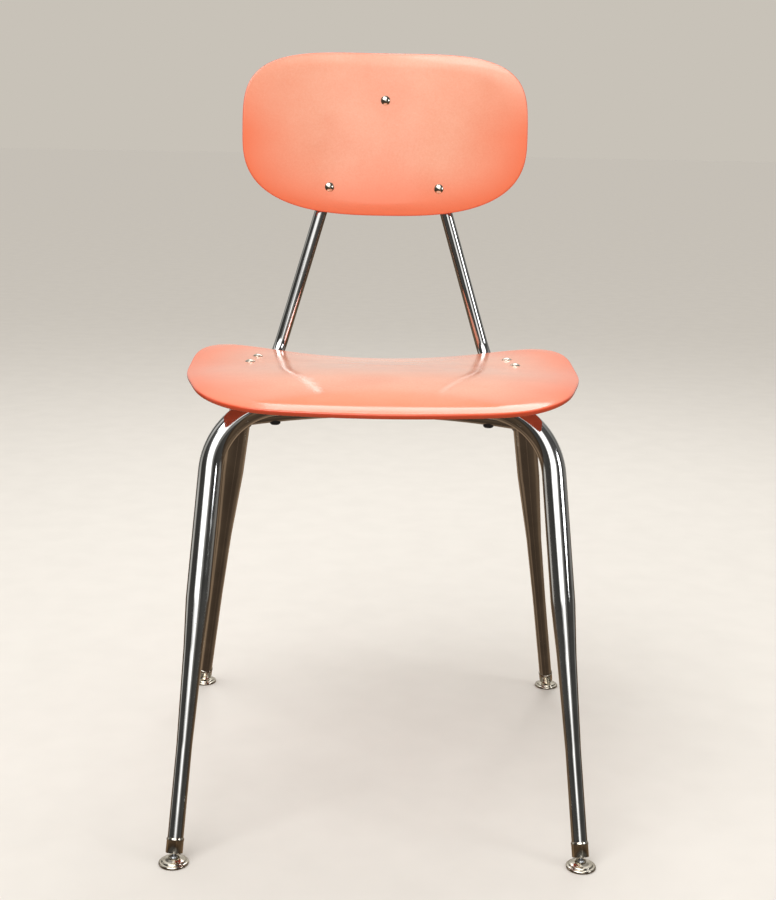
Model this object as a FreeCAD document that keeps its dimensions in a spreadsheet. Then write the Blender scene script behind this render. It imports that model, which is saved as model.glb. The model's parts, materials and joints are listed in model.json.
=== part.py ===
"""Stacking chair: moulded seat and back shells on a chromed, swaged tube frame with swivel glides.

Frame of the part: +Z up from the floor, +X to the right of someone facing the chair, -Y to the
front.  The origin is on the floor under the middle of the chair's outer box.  "Station" is a
distance back from the front feet, and aft() turns it into Y.  Millimetres throughout.
"""
import FreeCAD, Part
import math
import os
import Sketcher

V = FreeCAD.Vector
UP = V(0, 0, 1)

doc = FreeCAD.newDocument("stacking_chair")

# ---------------------------------------------------------------- driving dimensions
SIZES = [
    # overall layout
    ("origin_station", 252.8, "origin of the part, back from the front feet"),
    ("front_foot_x", 203.5, "half spacing of the front feet"),
    ("rear_foot_x", 227.5, "half spacing of the rear feet"),
    ("rear_foot_station", 478, "rear feet, back from the front feet"),
    ("pivot_height", 5.6, "centre of each glide ball above the floor"),
    # leg tube
    ("leg_radius", 12.7, "leg tube, one inch outside diameter"),
    ("tip_radius", 7.95, "swaged leg tip, five eighths of an inch"),
    ("tube_wall", 1.65, "16 gauge tube wall"),
    ("leg_start", 6.6, "end of the leg tube, up the leg from the ball"),
    # front leg frame
    ("front_bar_station", 173, "crossbar of the front legs"),
    ("front_bar_height", 436, "crossbar centre above the floor"),
    ("front_splay", 3.5, "degrees each front leg splays sideways, in the frame's own plane"),
    ("front_bend_radius", 76, "centreline radius of the two bends"),
    ("front_swage_foot", 110, "swage starts here, up the leg from the ball"),
    ("front_swage_knee", 206, "swage changes slope here"),
    ("front_swage_top", 258, "swage ends here"),
    ("swage_knee_radius", 10.2, "tube radius where the swage changes slope"),
    # rear legs and brace
    ("rear_top_station", 260, "rear leg axis meets the seat rail"),
    ("rear_swage_foot", 158, "swage starts here, up the leg from the ball"),
    ("rear_swage_knee", 262, "swage changes slope here"),
    ("rear_swage_top", 362, "swage ends here"),
    ("rear_knee_radius", 9.0, "tube radius where the rear swage changes slope"),
    ("brace_station", 281.5, "arched brace between the rear legs"),
    ("brace_height", 409, "brace centre above the floor, in the middle"),
    ("brace_arch_radius", 980, "radius of the brace's arch"),
    ("brace_half_span", 158, "brace length to each side before it is coped to the leg"),
    ("bumper_x", 121, "stacking bumpers under the brace"),
    ("bumper_radius", 6, "stacking bumpers"),
    ("bumper_drop", 2.6, "bumper's foot below the brace"),
    ("bumper_chamfer", 1.5, "bumper's foot"),
    ("bumper_hole", 2.6, "hole in the brace for the bumper's stem"),
    # back bow
    ("bow_radius", 7.95, "back bow tube, five eighths of an inch outside diameter"),
    ("bow_wall", 1.5, "back bow wall"),
    ("bow_bend_radius", 36, "centreline radius of all four bends"),
    ("post_station", 461, "posts at the seat's height"),
    ("post_base_height", 483, "height at which post_station and post_x are measured"),
    ("post_x", 118.3, "half spacing of the posts there"),
    ("post_splay", 16.3, "degrees each post leans inwards"),
    ("post_lean", 9.5, "degrees the posts lean back"),
    ("bow_top_height", 752.6, "centre of the arch above the floor"),
    ("rail_height", 435, "rail centre under the seat's rear edge"),
    ("rail_splay", 6.3, "degrees each rail runs outwards, going forwards"),
    ("rail_rise", 1.9, "degrees each rail rises, going forwards"),
    # seat shell
    ("shell_thickness", 8, "both shells"),
    ("shell_edge_radius", 3.4, "rounding of the shells' edges"),
    ("lip_station", 46, "front lip of the seat"),
    ("seat_depth", 393, "front lip to rear edge"),
    ("rivet_front_station", 294, "front pair of seat rivets"),
    ("rivet_rear_station", 340, "rear pair of seat rivets"),
    # backrest shell
    ("back_half_width", 172, "backrest, half its width"),
    ("back_up", 101, "backrest edge above its centre"),
    ("back_down", 95, "backrest edge below its centre"),
    ("back_centre_height", 710, "backrest centre above the floor"),
    ("back_curve_radius", 480, "radius of the backrest's sideways curve"),
    ("back_lean", 6.85, "degrees the backrest leans back"),
    ("back_screw_height", 648, "lower pair of screws above the floor"),
    # fasteners
    ("washer_gap", 1.5, "saddle washer under the backrest, at its thinnest"),
    ("washer_radius", 8, "saddle washers"),
    ("hole_radius", 3.2, "holes for rivets and screws"),
    ("shank_radius", 3.1, "rivet and screw shanks"),
    ("head_radius", 6, "dome heads"),
    ("head_height", 2.6, "dome heads"),
    ("head_gap", 0.05, "rivet heads above the seat"),
    ("screw_gap", 0.2, "screw heads above the backrest"),
    ("rivet_play", 0.3, "rivet flare below the rail"),
    ("flare_radius", 4.8, "flared foot of each rivet"),
    ("flare_height", 1.6, "flared foot of each rivet"),
    ("screw_reach", 4, "screw past the far side of its tube"),
    ("nut_radius", 5.6, "cap nuts"),
    ("nut_height", 6.5, "cap nuts"),
    ("nut_shoulder", 2.925, "straight part of the cap nuts"),
    ("nut_crown", 1.4, "solid metal at the top of the cap nuts"),
    # feet
    ("ferrule_radius", 9.0, "ferrule outside"),
    ("ferrule_bore", 8.0, "ferrule inside"),
    ("ferrule_low", 5.2, "ferrule's lower face, up the leg from the ball"),
    ("ferrule_length", 15, "ferrule"),
    ("ferrule_floor", 1.2, "thickness of the ferrule's floor"),
    ("plug_length", 24, "plug in the leg tip"),
    ("stem_radius", 2.0, "glide stem"),
    ("ball_radius", 3.6, "ball on the glide stem"),
    ("liner_inner", 3.8, "nylon liner, inside"),
    ("liner_outer", 4.4, "nylon liner, outside"),
    ("liner_low", 2.6, "liner's lower edge, below its centre"),
    ("liner_high", 1.3, "liner's upper edge, above its centre"),
    ("socket_radius", 4.6, "socket in the glide base"),
    ("base_radius", 15, "glide base"),
    ("base_rim", 3.2, "height of the glide base's rim"),
    ("dome_radius", 11.0, "glide base's dome, at its foot"),
    ("base_height", 7.2, "top of the glide base's dome"),
]

sheet = doc.addObject("Spreadsheet::Sheet", "Sizes")
for row, (alias, number, note) in enumerate(SIZES, 1):
    sheet.set("A%d" % row, note)
    sheet.set("B%d" % row, str(number))
    sheet.setAlias("B%d" % row, alias)
doc.recompute()


PLUMB_LOW = 300.0  # a height well below the seat
PLUMB_RISE = 300.0  # from there to well above it
DRILL_REACH = 45.0  # past a shell and the tube behind it
DRILL_START = 5.0  # in front of a shell's face


class Size:
    """A length that carries both its number and the sheet expression that it comes from."""

    def __init__(self, number, text):
        self.number = float(number)
        self.text = text

    def __add__(self, other):
        other = as_size(other)
        return Size(self.number + other.number, "(%s + %s)" % (self.text, other.text))

    def __sub__(self, other):
        other = as_size(other)
        return Size(self.number - other.number, "(%s - %s)" % (self.text, other.text))

    def __mul__(self, factor):
        return Size(self.number * factor, "(%s * %r)" % (self.text, factor))

    def __neg__(self):
        return Size(-self.number, "(0 - %s)" % self.text)


def as_size(value):
    return value if isinstance(value, Size) else Size(value, repr(float(value)))


def bound(alias):
    """A Size bound to one cell of the sheet."""
    return Size(sheet.get(alias), "Sizes." + alias)


def size(alias):
    """The plain number in one cell of the sheet."""
    return float(sheet.get(alias))


def aft(station):
    """Y of a station measured back from the front feet."""
    return station - size("origin_station")


def chord(radius, height):
    """How far a circle of this radius reaches sideways at this height from its centre."""
    return Size(
        math.sqrt(radius.number ** 2 - height.number ** 2),
        "sqrt(%s ^ 2 - %s ^ 2)" % (radius.text, height.text),
    )


# ---------------------------------------------------------------- sketch and body helpers
parts = {}


def new_body(label):
    body = doc.addObject("PartDesign::Body", label)
    body.Label = label
    return body


def new_sketch(body, role, name):
    """A sketch on one of the body's own origin planes."""
    sketch = body.newObject("Sketcher::SketchObject", name)
    plane = [feature for feature in body.Origin.OriginFeatures if feature.Role == role][0]
    sketch.AttachmentSupport = [(plane, "")]
    sketch.MapMode = "FlatFace"
    return sketch


def pin_axis(sketch, kind, axis, geo, pos, value):
    """Fix one coordinate of a sketch point, as a distance bound to the sheet."""
    value = as_size(value)
    if abs(value.number) < 1e-9:
        sketch.addConstraint(Sketcher.Constraint("PointOnObject", geo, pos, axis))
        return
    if value.number > 0:
        ends = (-1, 1, geo, pos)
    else:
        ends = (geo, pos, -1, 1)
        value = -value
    index = sketch.addConstraint(Sketcher.Constraint(kind, *ends, value.number))
    sketch.setExpression("Constraints[%d]" % index, value.text)


def pin_point(sketch, geo, pos, point):
    pin_axis(sketch, "DistanceX", -2, geo, pos, point[0])
    pin_axis(sketch, "DistanceY", -1, geo, pos, point[1])


def draw_outline(sketch, corners, arcs=None, closed=True):
    """Draw sides from corner to corner; arcs maps a side's number to its signed radius.

    A positive radius has its centre to the left of the side's direction, a negative one to the
    right.  Every arc is the shorter of the two that fit.
    """
    arcs = arcs or {}
    flat = [V(as_size(x).number, as_size(y).number, 0) for x, y in corners]
    count = len(flat)
    ends = []
    for side in range(count if closed else count - 1):
        start, finish = flat[side], flat[(side + 1) % count]
        if side not in arcs:
            geo = sketch.addGeometry(Part.LineSegment(start, finish))
            ends.append(((geo, 1), (geo, 2)))
            continue
        radius = arcs[side]
        reach = abs(radius.number)
        middle = (start + finish) * 0.5
        along = finish - start
        left = V(-along.y, along.x, 0).normalize()
        rise = math.sqrt(max(reach ** 2 - (along.Length / 2) ** 2, 0))
        centre = middle + left * math.copysign(rise, radius.number)
        first, last = (start, finish) if radius.number > 0 else (finish, start)
        angle_a = math.atan2(first.y - centre.y, first.x - centre.x)
        angle_b = math.atan2(last.y - centre.y, last.x - centre.x)
        circle = Part.Circle(centre, UP, reach)
        geo = sketch.addGeometry(Part.ArcOfCircle(circle, angle_a, angle_b))
        radius = radius if radius.number > 0 else -radius
        index = sketch.addConstraint(Sketcher.Constraint("Radius", geo, reach))
        sketch.setExpression("Constraints[%d]" % index, radius.text)
        ends.append(((geo, 1), (geo, 2)) if first is start else ((geo, 2), (geo, 1)))
    for side, (_, tail) in enumerate(ends):
        if closed or side + 1 < len(ends):
            head = ends[(side + 1) % len(ends)][0]
            sketch.addConstraint(Sketcher.Constraint("Coincident", *tail, *head))
    for corner, (head, _) in zip(corners, ends):
        pin_point(sketch, *head, corner)
    if not closed:
        pin_point(sketch, *ends[-1][1], corners[-1])


def turned(label, corners, arcs=None):
    """A piece turned on a lathe: the outline is (radius, height) and spins about local Z."""
    body = new_body(label)
    sketch = new_sketch(body, "XZ_Plane", label + "_profile")
    draw_outline(sketch, corners, arcs)
    spin = body.newObject("PartDesign::Revolution", label + "_turned")
    spin.Profile = sketch
    spin.ReferenceAxis = (sketch, ["V_Axis"])
    spin.Angle = 360
    body.Tip = spin
    doc.recompute()
    return body


def keep(label, thing):
    """Note a finished sub-part under the name of its file."""
    thing.Label = label
    parts[label] = thing
    return thing


def shaped(label, shape):
    """A sub-part whose shape is set directly, from sizes read from the sheet."""
    thing = doc.addObject("Part::Feature", label)
    thing.Shape = shape
    return keep(label, thing)


def cut_from(label, base, tool_shapes):
    """A sub-part made by cutting plain solids out of a body."""
    tools = []
    for number, tool in enumerate(tool_shapes, 1):
        cutter = doc.addObject("Part::Feature", "%s_cutter_%d" % (label, number))
        cutter.Shape = tool
        tools.append(cutter)
    group = doc.addObject("Part::MultiFuse", label + "_cutters")
    group.Shapes = tools
    result = doc.addObject("Part::Cut", label + "_cut")
    result.Base = base
    result.Tool = group if len(tools) > 1 else tools[0]
    if len(tools) == 1:
        doc.removeObject(group.Name)
    doc.recompute()
    return keep(label, result)


def rod(start, finish, radius):
    """A plain round bar from one point to another, used as a drill or a cope."""
    return Part.makeCylinder(radius, (finish - start).Length, start, finish - start)


def aim(position, direction):
    """Placement that carries local Z onto a direction, with its origin at a position."""
    return FreeCAD.Placement(position, FreeCAD.Rotation(UP, direction))


def wire_with_bends(points, radius):
    """Straight runs joined by tangent arcs of one radius."""
    edges = []
    here = points[0]
    for before, corner, after in zip(points, points[1:], points[2:]):
        back = (before - corner).normalize()
        on = (after - corner).normalize()
        turn = math.pi - back.getAngle(on)
        tangent = radius * math.tan(turn / 2)
        first, last = corner + back * tangent, corner + on * tangent
        bisector = (back + on).normalize()
        middle = corner + bisector * (radius / math.cos(turn / 2) - radius)
        edges.append(Part.LineSegment(here, first).toShape())
        edges.append(Part.Arc(first, middle, last).toShape())
        here = last
    edges.append(Part.LineSegment(here, points[-1]).toShape())
    return Part.Wire(edges)


def sweep_round(path, radius):
    """A solid round bar swept along a path."""
    start = path.Edges[0].firstVertex().Point
    direction = path.Edges[0].tangentAt(path.Edges[0].FirstParameter)
    ring = Part.Wire(Part.Circle(start, direction, radius).toShape())
    return path.makePipeShell([ring], True, False)


# ---------------------------------------------------------------- feet: where each leg ends
SIDES = {"left": -1, "right": 1}


def pivot(end, side):
    """Centre of the glide ball under one leg."""
    if end == "front":
        return V(side * size("front_foot_x"), aft(0), size("pivot_height"))
    return V(side * size("rear_foot_x"), aft(size("rear_foot_station")), size("pivot_height"))


def rail_point(side, station):
    """Point on the centreline of one seat rail."""
    foot = post_point(side, size("rail_height"))
    ahead = foot.y - aft(station)
    out = ahead * math.tan(math.radians(size("rail_splay")))
    rise = ahead * math.tan(math.radians(size("rail_rise")))
    return V(foot.x + side * out, aft(station), foot.z + rise)


def post_point(side, height):
    """Point on the centreline of one back post, produced up or down to a height."""
    above = height - size("post_base_height")
    lean = math.radians(size("post_lean"))
    run = above / math.cos(lean)
    inwards = run * math.tan(math.radians(size("post_splay")))
    y = aft(size("post_station")) + above * math.tan(lean)
    return V(side * (size("post_x") - inwards), y, height)


# ---------------------------------------------------------------- front leg frame
front_drop = V(0, aft(0) - aft(size("front_bar_station")),
               size("pivot_height") - size("front_bar_height"))
front_lean = math.degrees(math.atan2(-front_drop.y, -front_drop.z))
front_splay = math.radians(size("front_splay"))
front_corner_x = size("front_foot_x") - front_drop.Length * math.tan(front_splay)
front_leg_length = front_drop.Length / math.cos(front_splay)
front_tangent = size("front_bend_radius") * math.tan((math.pi / 2 - front_splay) / 2)


def leg_profile(sketch, foot, knee, top, knee_radius, finish):
    """Half section of a swaged leg tube, from its tip at leg_start to finish."""
    wall = bound("tube_wall")
    run = [
        (bound("tip_radius"), bound("leg_start")),
        (bound("tip_radius"), bound(foot)),
        (bound(knee_radius), bound(knee)),
        (bound("leg_radius"), bound(top)),
        (bound("leg_radius"), as_size(finish)),
    ]
    bore = [(radius - wall, height) for radius, height in reversed(run)]
    draw_outline(sketch, run + bore)


def make_front_frame():
    """Upside-down U: half of it is swept and turned, then mirrored about its middle plane."""
    body = new_body("front_leg_frame_body")
    path = new_sketch(body, "XZ_Plane", "front_leg_frame_path")
    straight = front_corner_x - front_tangent
    bend_end = (
        front_corner_x + front_tangent * math.sin(front_splay),
        -front_tangent * math.cos(front_splay),
    )
    draw_outline(path, [(0, 0), (straight, 0), bend_end],
                 {1: -bound("front_bend_radius")}, closed=False)
    ring = new_sketch(body, "YZ_Plane", "front_leg_frame_ring")
    for radius in (bound("leg_radius"), bound("leg_radius") - bound("tube_wall")):
        geo = ring.addGeometry(Part.Circle(V(0, 0, 0), UP, radius.number))
        ring.addConstraint(Sketcher.Constraint("Coincident", geo, 3, -1, 1))
        index = ring.addConstraint(Sketcher.Constraint("Radius", geo, radius.number))
        ring.setExpression("Constraints[%d]" % index, radius.text)
    doc.recompute()
    sweep = body.newObject("PartDesign::AdditivePipe", "front_leg_frame_bend")
    sweep.Profile = ring
    sweep.Spine = (path, ["Edge1", "Edge2"])
    body.Tip = sweep
    doc.recompute()
    leg = new_sketch(body, "XZ_Plane", "front_leg_profile")
    foot = V(front_corner_x + front_leg_length * math.sin(front_splay),
             -front_leg_length * math.cos(front_splay), 0)
    leg.AttachmentOffset = FreeCAD.Placement(
        foot, FreeCAD.Rotation(UP, math.degrees(front_splay)))
    leg_profile(leg, "front_swage_foot", "front_swage_knee", "front_swage_top",
                "swage_knee_radius", front_leg_length - front_tangent)
    spin = body.newObject("PartDesign::Revolution", "front_leg_turned")
    spin.Profile = leg
    spin.ReferenceAxis = (leg, ["V_Axis"])
    spin.Angle = 360
    body.Tip = spin
    doc.recompute()
    mirror = body.newObject("PartDesign::Mirrored", "front_leg_frame_mirror")
    mirror.Originals = [sweep, spin]
    plane = [f for f in body.Origin.OriginFeatures if f.Role == "YZ_Plane"][0]
    mirror.MirrorPlane = (plane, [""])
    body.Tip = mirror
    body.Placement = FreeCAD.Placement(
        V(0, aft(size("front_bar_station")), size("front_bar_height")),
        FreeCAD.Rotation(V(1, 0, 0), -front_lean))
    doc.recompute()
    return keep("front_leg_frame", body)


make_front_frame()

# ---------------------------------------------------------------- seat and back shells


def seat_height_grid():
    """Heights of the seat's top surface on a grid that runs past its edges.

    Each row is (station, height in the middle, how much the sides rise at 200 mm out): the
    front falls away to the lip, the crest takes the thighs, and the rear is dished.
    """
    reference = 200.0
    rows = [
        (20, 446.5, 1),
        (46, 452.5, 0),
        (110, 462, -3),
        (180, 466.5, -5.5),
        (260, 462.5, -2),
        (340, 455.5, 8),
        (400, 449, 18),
        (450, 443, 27),
    ]
    columns = [-240, -180, -120, -60, 0, 60, 120, 180, 240]
    return [
        [V(x, aft(station), middle + rise * (x / reference) ** 2) for x in columns]
        for station, middle, rise in rows
    ]


seat_surface = Part.BSplineSurface()
seat_surface.interpolate(seat_height_grid())
seat_face = seat_surface.toShape()


def seat_frame(x, station):
    """Point on the seat's top surface, and the upward normal there."""
    y = aft(station)
    plumb = Part.LineSegment(V(x, y, PLUMB_LOW), V(x, y, PLUMB_LOW + PLUMB_RISE)).toShape()
    point = plumb.distToShape(seat_face)[1][0][0]
    u, v = seat_surface.parameter(point)
    normal = seat_surface.normal(u, v)
    return point, normal if normal.z > 0 else -normal


def mirrored_loop(half, start, finish):
    """Closed wire from its right half, which crosses the middle squarely at both ends."""
    curve = Part.BSplineCurve()
    curve.interpolate(Points=half, InitialTangent=start, FinalTangent=finish)
    right = curve.toShape()
    return Part.Wire([right, right.mirror(V(0, 0, 0), V(1, 0, 0))])


def seat_outline():
    """Plan outline of the seat, front to rear down its right side and back up the left."""
    lip = size("lip_station")
    depth = size("seat_depth")
    half = [(0, 0), (88, 4.5), (148, 20), (181.5, 58), (201, 119), (213.5, 184), (217, 255),
            (209, 330), (176, depth - 18), (95, depth - 3)]
    points = [V(x, aft(lip + back), 0) for x, back in half + [(0, depth)]]
    return mirrored_loop(points, V(1, 0, 0), V(-1, 0, 0))


def round_rim(solid, is_rim):
    """Round the long edges where the faces of a shell meet its side."""
    rim = [edge for edge in solid.Edges if is_rim(edge)]
    return solid.makeFillet(size("shell_edge_radius"), rim)


def make_seat_blank():
    thickness = size("shell_thickness")
    slab = seat_face.extrude(V(0, 0, -thickness))
    prism = Part.Face(seat_outline())
    prism.translate(V(0, 0, PLUMB_LOW))
    blank = slab.common(prism.extrude(V(0, 0, PLUMB_RISE))).Solids[0]
    return round_rim(blank, lambda edge: edge.Length > 100)


def oval_outline(steps):
    """Backrest outline as a superellipse: squarer above the middle, rounder below."""
    upper_power = 3.6
    lower_power = 2.85
    points = []
    for step in range(steps + 1):
        angle = math.pi * (step / steps - 0.5)
        across, along = math.cos(angle), math.sin(angle)
        power = upper_power if along >= 0 else lower_power
        reach = size("back_up") if along >= 0 else size("back_down")
        x = abs(across) ** (2 / power) * size("back_half_width")
        z = math.copysign(abs(along) ** (2 / power), along) * reach
        points.append(V(x, 0, z))
    points[0].x = points[-1].x = 0
    return mirrored_loop(points, V(1, 0, 0), V(-1, 0, 0))


def back_placement():
    """Local frame of the backrest: origin at the middle of its rear face, leaning back."""
    top = post_point(1, size("bow_top_height"))
    gap = size("bow_radius") + size("washer_gap")
    lean = math.radians(size("back_lean"))
    rear_y = top.y - gap / math.cos(lean)
    drop = size("bow_top_height") - size("back_centre_height")
    origin = V(0, rear_y - drop * math.tan(lean), size("back_centre_height"))
    return FreeCAD.Placement(origin, FreeCAD.Rotation(V(1, 0, 0), -size("back_lean")))


def make_back_blank():
    """A curved slab cut to the outline, in the backrest's local frame."""
    inner = size("back_curve_radius")
    outer = inner + size("shell_thickness")
    tall = 400
    axis_foot = V(0, -outer, -tall / 2)
    slab = Part.makeCylinder(outer, tall, axis_foot, UP)
    slab = slab.cut(Part.makeCylinder(inner, tall, axis_foot, UP))
    prism = Part.Face(oval_outline(24))
    prism.translate(V(0, -100, 0))
    blank = slab.common(prism.extrude(V(0, 110, 0))).Solids[0]
    blank = round_rim(blank, lambda edge: edge.Length > 100)
    blank.Placement = back_placement()
    return blank


# ---------------------------------------------------------------- back bow


def bow_route():
    """Corners of the bow's centreline: rail, post, arch, post, rail."""
    start_station = size("front_bar_station")
    halves = {}
    for name, side in SIDES.items():
        halves[name] = [
            rail_point(side, start_station),
            post_point(side, size("rail_height")),
            post_point(side, size("bow_top_height")),
        ]
    return halves["left"] + halves["right"][::-1]


bow_path = wire_with_bends(bow_route(), size("bow_bend_radius"))
bow_outside = sweep_round(bow_path, size("bow_radius"))
bow_inside = sweep_round(bow_path, size("bow_radius") - size("bow_wall"))
front_bar_centre = V(0, aft(size("front_bar_station")), size("front_bar_height"))
front_bar_cope = rod(front_bar_centre - V(250, 0, 0), front_bar_centre + V(250, 0, 0),
                     size("leg_radius"))

# ---------------------------------------------------------------- fastener axes


def seat_rivet_axes():
    """Each rivet's point on the seat's top surface and the direction of its head."""
    axes = []
    for side in SIDES.values():
        for alias in ("rivet_front_station", "rivet_rear_station"):
            station = size(alias)
            x = rail_point(side, station).x
            point, normal = seat_frame(x, station)
            axes.append((point, normal, rail_point(side, station)))
    return axes


def back_screw_axes():
    """Each screw's point on the backrest's front, the direction of its head, and the tube."""
    place = back_placement()
    inner = size("back_curve_radius")
    outer = inner + size("shell_thickness")
    tubes = [V(0, post_point(1, size("bow_top_height")).y, size("bow_top_height"))]
    tubes += [post_point(side, size("back_screw_height")) for side in SIDES.values()]
    axes = []
    for tube in tubes:
        local = place.inverse().multVec(tube)
        centre = V(0, -outer, local.z)
        out = (local - centre).normalize()
        point = place.multVec(centre + out * inner)
        axes.append((point, place.Rotation.multVec(-out), tube))
    return axes


RIVETS = seat_rivet_axes()
SCREWS = back_screw_axes()


def drills(axes, reach):
    """Clearance holes through shell and tube along each fastener."""
    return [rod(point + head * DRILL_START, point - head * reach, size("hole_radius"))
            for point, head, _ in axes]


seat_shell = shaped("seat_shell", make_seat_blank().cut(drills(RIVETS, DRILL_REACH)))
back_shell = shaped("backrest_shell", make_back_blank().cut(drills(SCREWS, DRILL_REACH)))
bow_tools = [bow_inside, front_bar_cope] + drills(RIVETS + SCREWS, DRILL_REACH)
back_bow = shaped("back_bow", bow_outside.cut(bow_tools))


def saddle_washers(label, axes, shell):
    """Washers that fill the gap between a flat shell and the round tube behind it."""
    pieces = []
    for point, head, tube in axes:
        blank = rod(point - head * size("shell_thickness") / 2, tube, size("washer_radius"))
        blank = blank.cut([shell.Shape, bow_outside])
        blank = blank.cut(drills([(point, head, tube)], DRILL_REACH))
        pieces.append(max(blank.Solids, key=lambda solid: -solid.distToShape(shell.Shape)[0]))
    return shaped(label, Part.makeCompound(pieces))


saddle_washers("seat_saddle_washers", RIVETS, seat_shell)
saddle_washers("back_saddle_washers", SCREWS, back_shell)

# ---------------------------------------------------------------- rivets, screws and nuts


def domed_pin(label, length, foot):
    """A dome head on a shank: local Z points out of the head, and foot ends the shank."""
    head = bound("head_radius")
    tall = bound("head_height")
    dome = Size((head.number ** 2 + tall.number ** 2) / (2 * tall.number),
                "((%s ^ 2 + %s ^ 2) / (2 * %s))" % (head.text, tall.text, tall.text))
    shank = bound("shank_radius")
    corners = [(0, tall), (0, -length)] + foot + [(shank, 0), (head, 0)]
    return turned(label, corners, {len(corners) - 1: dome})


def placed_copies(label, master, placements):
    copies = []
    for placement in placements:
        copy = master.Shape.copy()
        copy.Placement = placement.multiply(master.Placement)
        copies.append(copy)
    return shaped(label, Part.makeCompound(copies))


def grip(axes):
    """Distance from a shell's face to the far side of the tube behind it."""
    return max((point - tube).dot(head) for point, head, tube in axes) + size("bow_radius")


def make_rivets():
    length = grip(RIVETS) + size("rivet_play")
    flare, tall = size("flare_radius"), size("flare_height")
    foot = [(flare * 0.75, -length - tall), (flare, -length - tall * 0.4), (flare, -length),
            (bound("shank_radius"), -length)]
    master = domed_pin("seat_rivet_master", length + tall, foot)
    places = [aim(point + head * size("head_gap"), head) for point, head, _ in RIVETS]
    return placed_copies("seat_rivets", master, places)


def make_screws():
    length = grip(SCREWS) + size("screw_reach")
    master = domed_pin("back_screw_master", length, [(bound("shank_radius"), -length)])
    places = [aim(point + head * size("screw_gap"), head) for point, head, _ in SCREWS]
    return placed_copies("back_screws", master, places)


def make_nuts():
    nut = bound("nut_radius")
    tall = bound("nut_height")
    bore = bound("shank_radius") + 0.05
    shoulder = bound("nut_shoulder")
    roof = tall - bound("nut_crown")
    corners = [(bore, 0), (nut, 0), (nut, shoulder), (0, tall), (0, roof), (bore, roof)]
    rise = tall - shoulder
    crown = Size((nut.number ** 2 + rise.number ** 2) / (2 * rise.number),
                 "((%s ^ 2 + %s ^ 2) / (2 * %s))" % (nut.text, rise.text, rise.text))
    master = turned("back_nut_master", corners, {2: crown})
    places = []
    for _, head, tube in SCREWS:
        seat = tube - head * (size("bow_radius") + size("head_gap"))
        places.append(aim(seat, -head))
    return placed_copies("back_nuts", master, places)


make_rivets()
make_screws()
make_nuts()

# ---------------------------------------------------------------- rear legs, brace and bumpers


def rear_axis(side):
    """Lower and upper ends of one rear leg's axis: glide ball and seat rail."""
    return pivot("rear", side), rail_point(side, size("rear_top_station"))


def make_rear_leg(name, side):
    """A swaged tube whose top is cut level under the seat and coped round the rail."""
    low, high = rear_axis(side)
    spare = 8.0
    trim_size = 80.0
    length = (high - low).Length + spare
    label = "rear_leg_" + name
    body = new_body(label + "_body")
    sketch = new_sketch(body, "XZ_Plane", label + "_profile")
    leg_profile(sketch, "rear_swage_foot", "rear_swage_knee", "rear_swage_top",
                "rear_knee_radius", length)
    spin = body.newObject("PartDesign::Revolution", label + "_turned")
    spin.Profile = sketch
    spin.ReferenceAxis = (sketch, ["V_Axis"])
    spin.Angle = 360
    body.Tip = spin
    body.Placement = aim(low, high - low)
    doc.recompute()
    corner = V(high.x - trim_size / 2, high.y - trim_size / 2, high.z)
    trim = Part.makeBox(trim_size, trim_size, trim_size / 2, corner)
    return cut_from(label, body, [trim, bow_outside])


for side_name, side_sign in SIDES.items():
    make_rear_leg(side_name, side_sign)


def brace_drop(x):
    """How far the arched brace has fallen at a distance from its middle."""
    radius = size("brace_arch_radius")
    return radius - math.sqrt(radius ** 2 - x ** 2)


def make_brace():
    body = new_body("rear_brace_body")
    path = new_sketch(body, "XZ_Plane", "rear_brace_path")
    span = bound("brace_half_span")
    drop = brace_drop(span.number)
    draw_outline(path, [(-span, -drop), (span, -drop)],
                 {0: -bound("brace_arch_radius")}, closed=False)
    ring = new_sketch(body, "YZ_Plane", "rear_brace_ring")
    ring.AttachmentOffset = FreeCAD.Placement(V(0, -drop, -span.number), FreeCAD.Rotation())
    for radius in (bound("bow_radius"), bound("bow_radius") - bound("bow_wall")):
        geo = ring.addGeometry(Part.Circle(V(0, 0, 0), UP, radius.number))
        ring.addConstraint(Sketcher.Constraint("Coincident", geo, 3, -1, 1))
        index = ring.addConstraint(Sketcher.Constraint("Radius", geo, radius.number))
        ring.setExpression("Constraints[%d]" % index, radius.text)
    doc.recompute()
    sweep = body.newObject("PartDesign::AdditivePipe", "rear_brace_arch")
    sweep.Profile = ring
    sweep.Spine = (path, ["Edge1"])
    body.Tip = sweep
    body.Placement = FreeCAD.Placement(
        V(0, aft(size("brace_station")), size("brace_height")), FreeCAD.Rotation())
    doc.recompute()
    copes = [rod(*rear_axis(side), size("leg_radius")) for side in SIDES.values()]
    holes = []
    for side in SIDES.values():
        spot = bumper_spot(side)
        wall = UP * size("bow_wall")
        holes.append(rod(spot - wall * 4, spot + wall * 2.7, size("bumper_hole")))
    return cut_from("rear_brace", body, copes + holes)


def bumper_spot(side):
    """Lowest point of the brace above one bumper."""
    x = side * size("bumper_x")
    bottom = size("brace_height") - brace_drop(x) - size("bow_radius")
    return V(x, aft(size("brace_station")), bottom)


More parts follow.
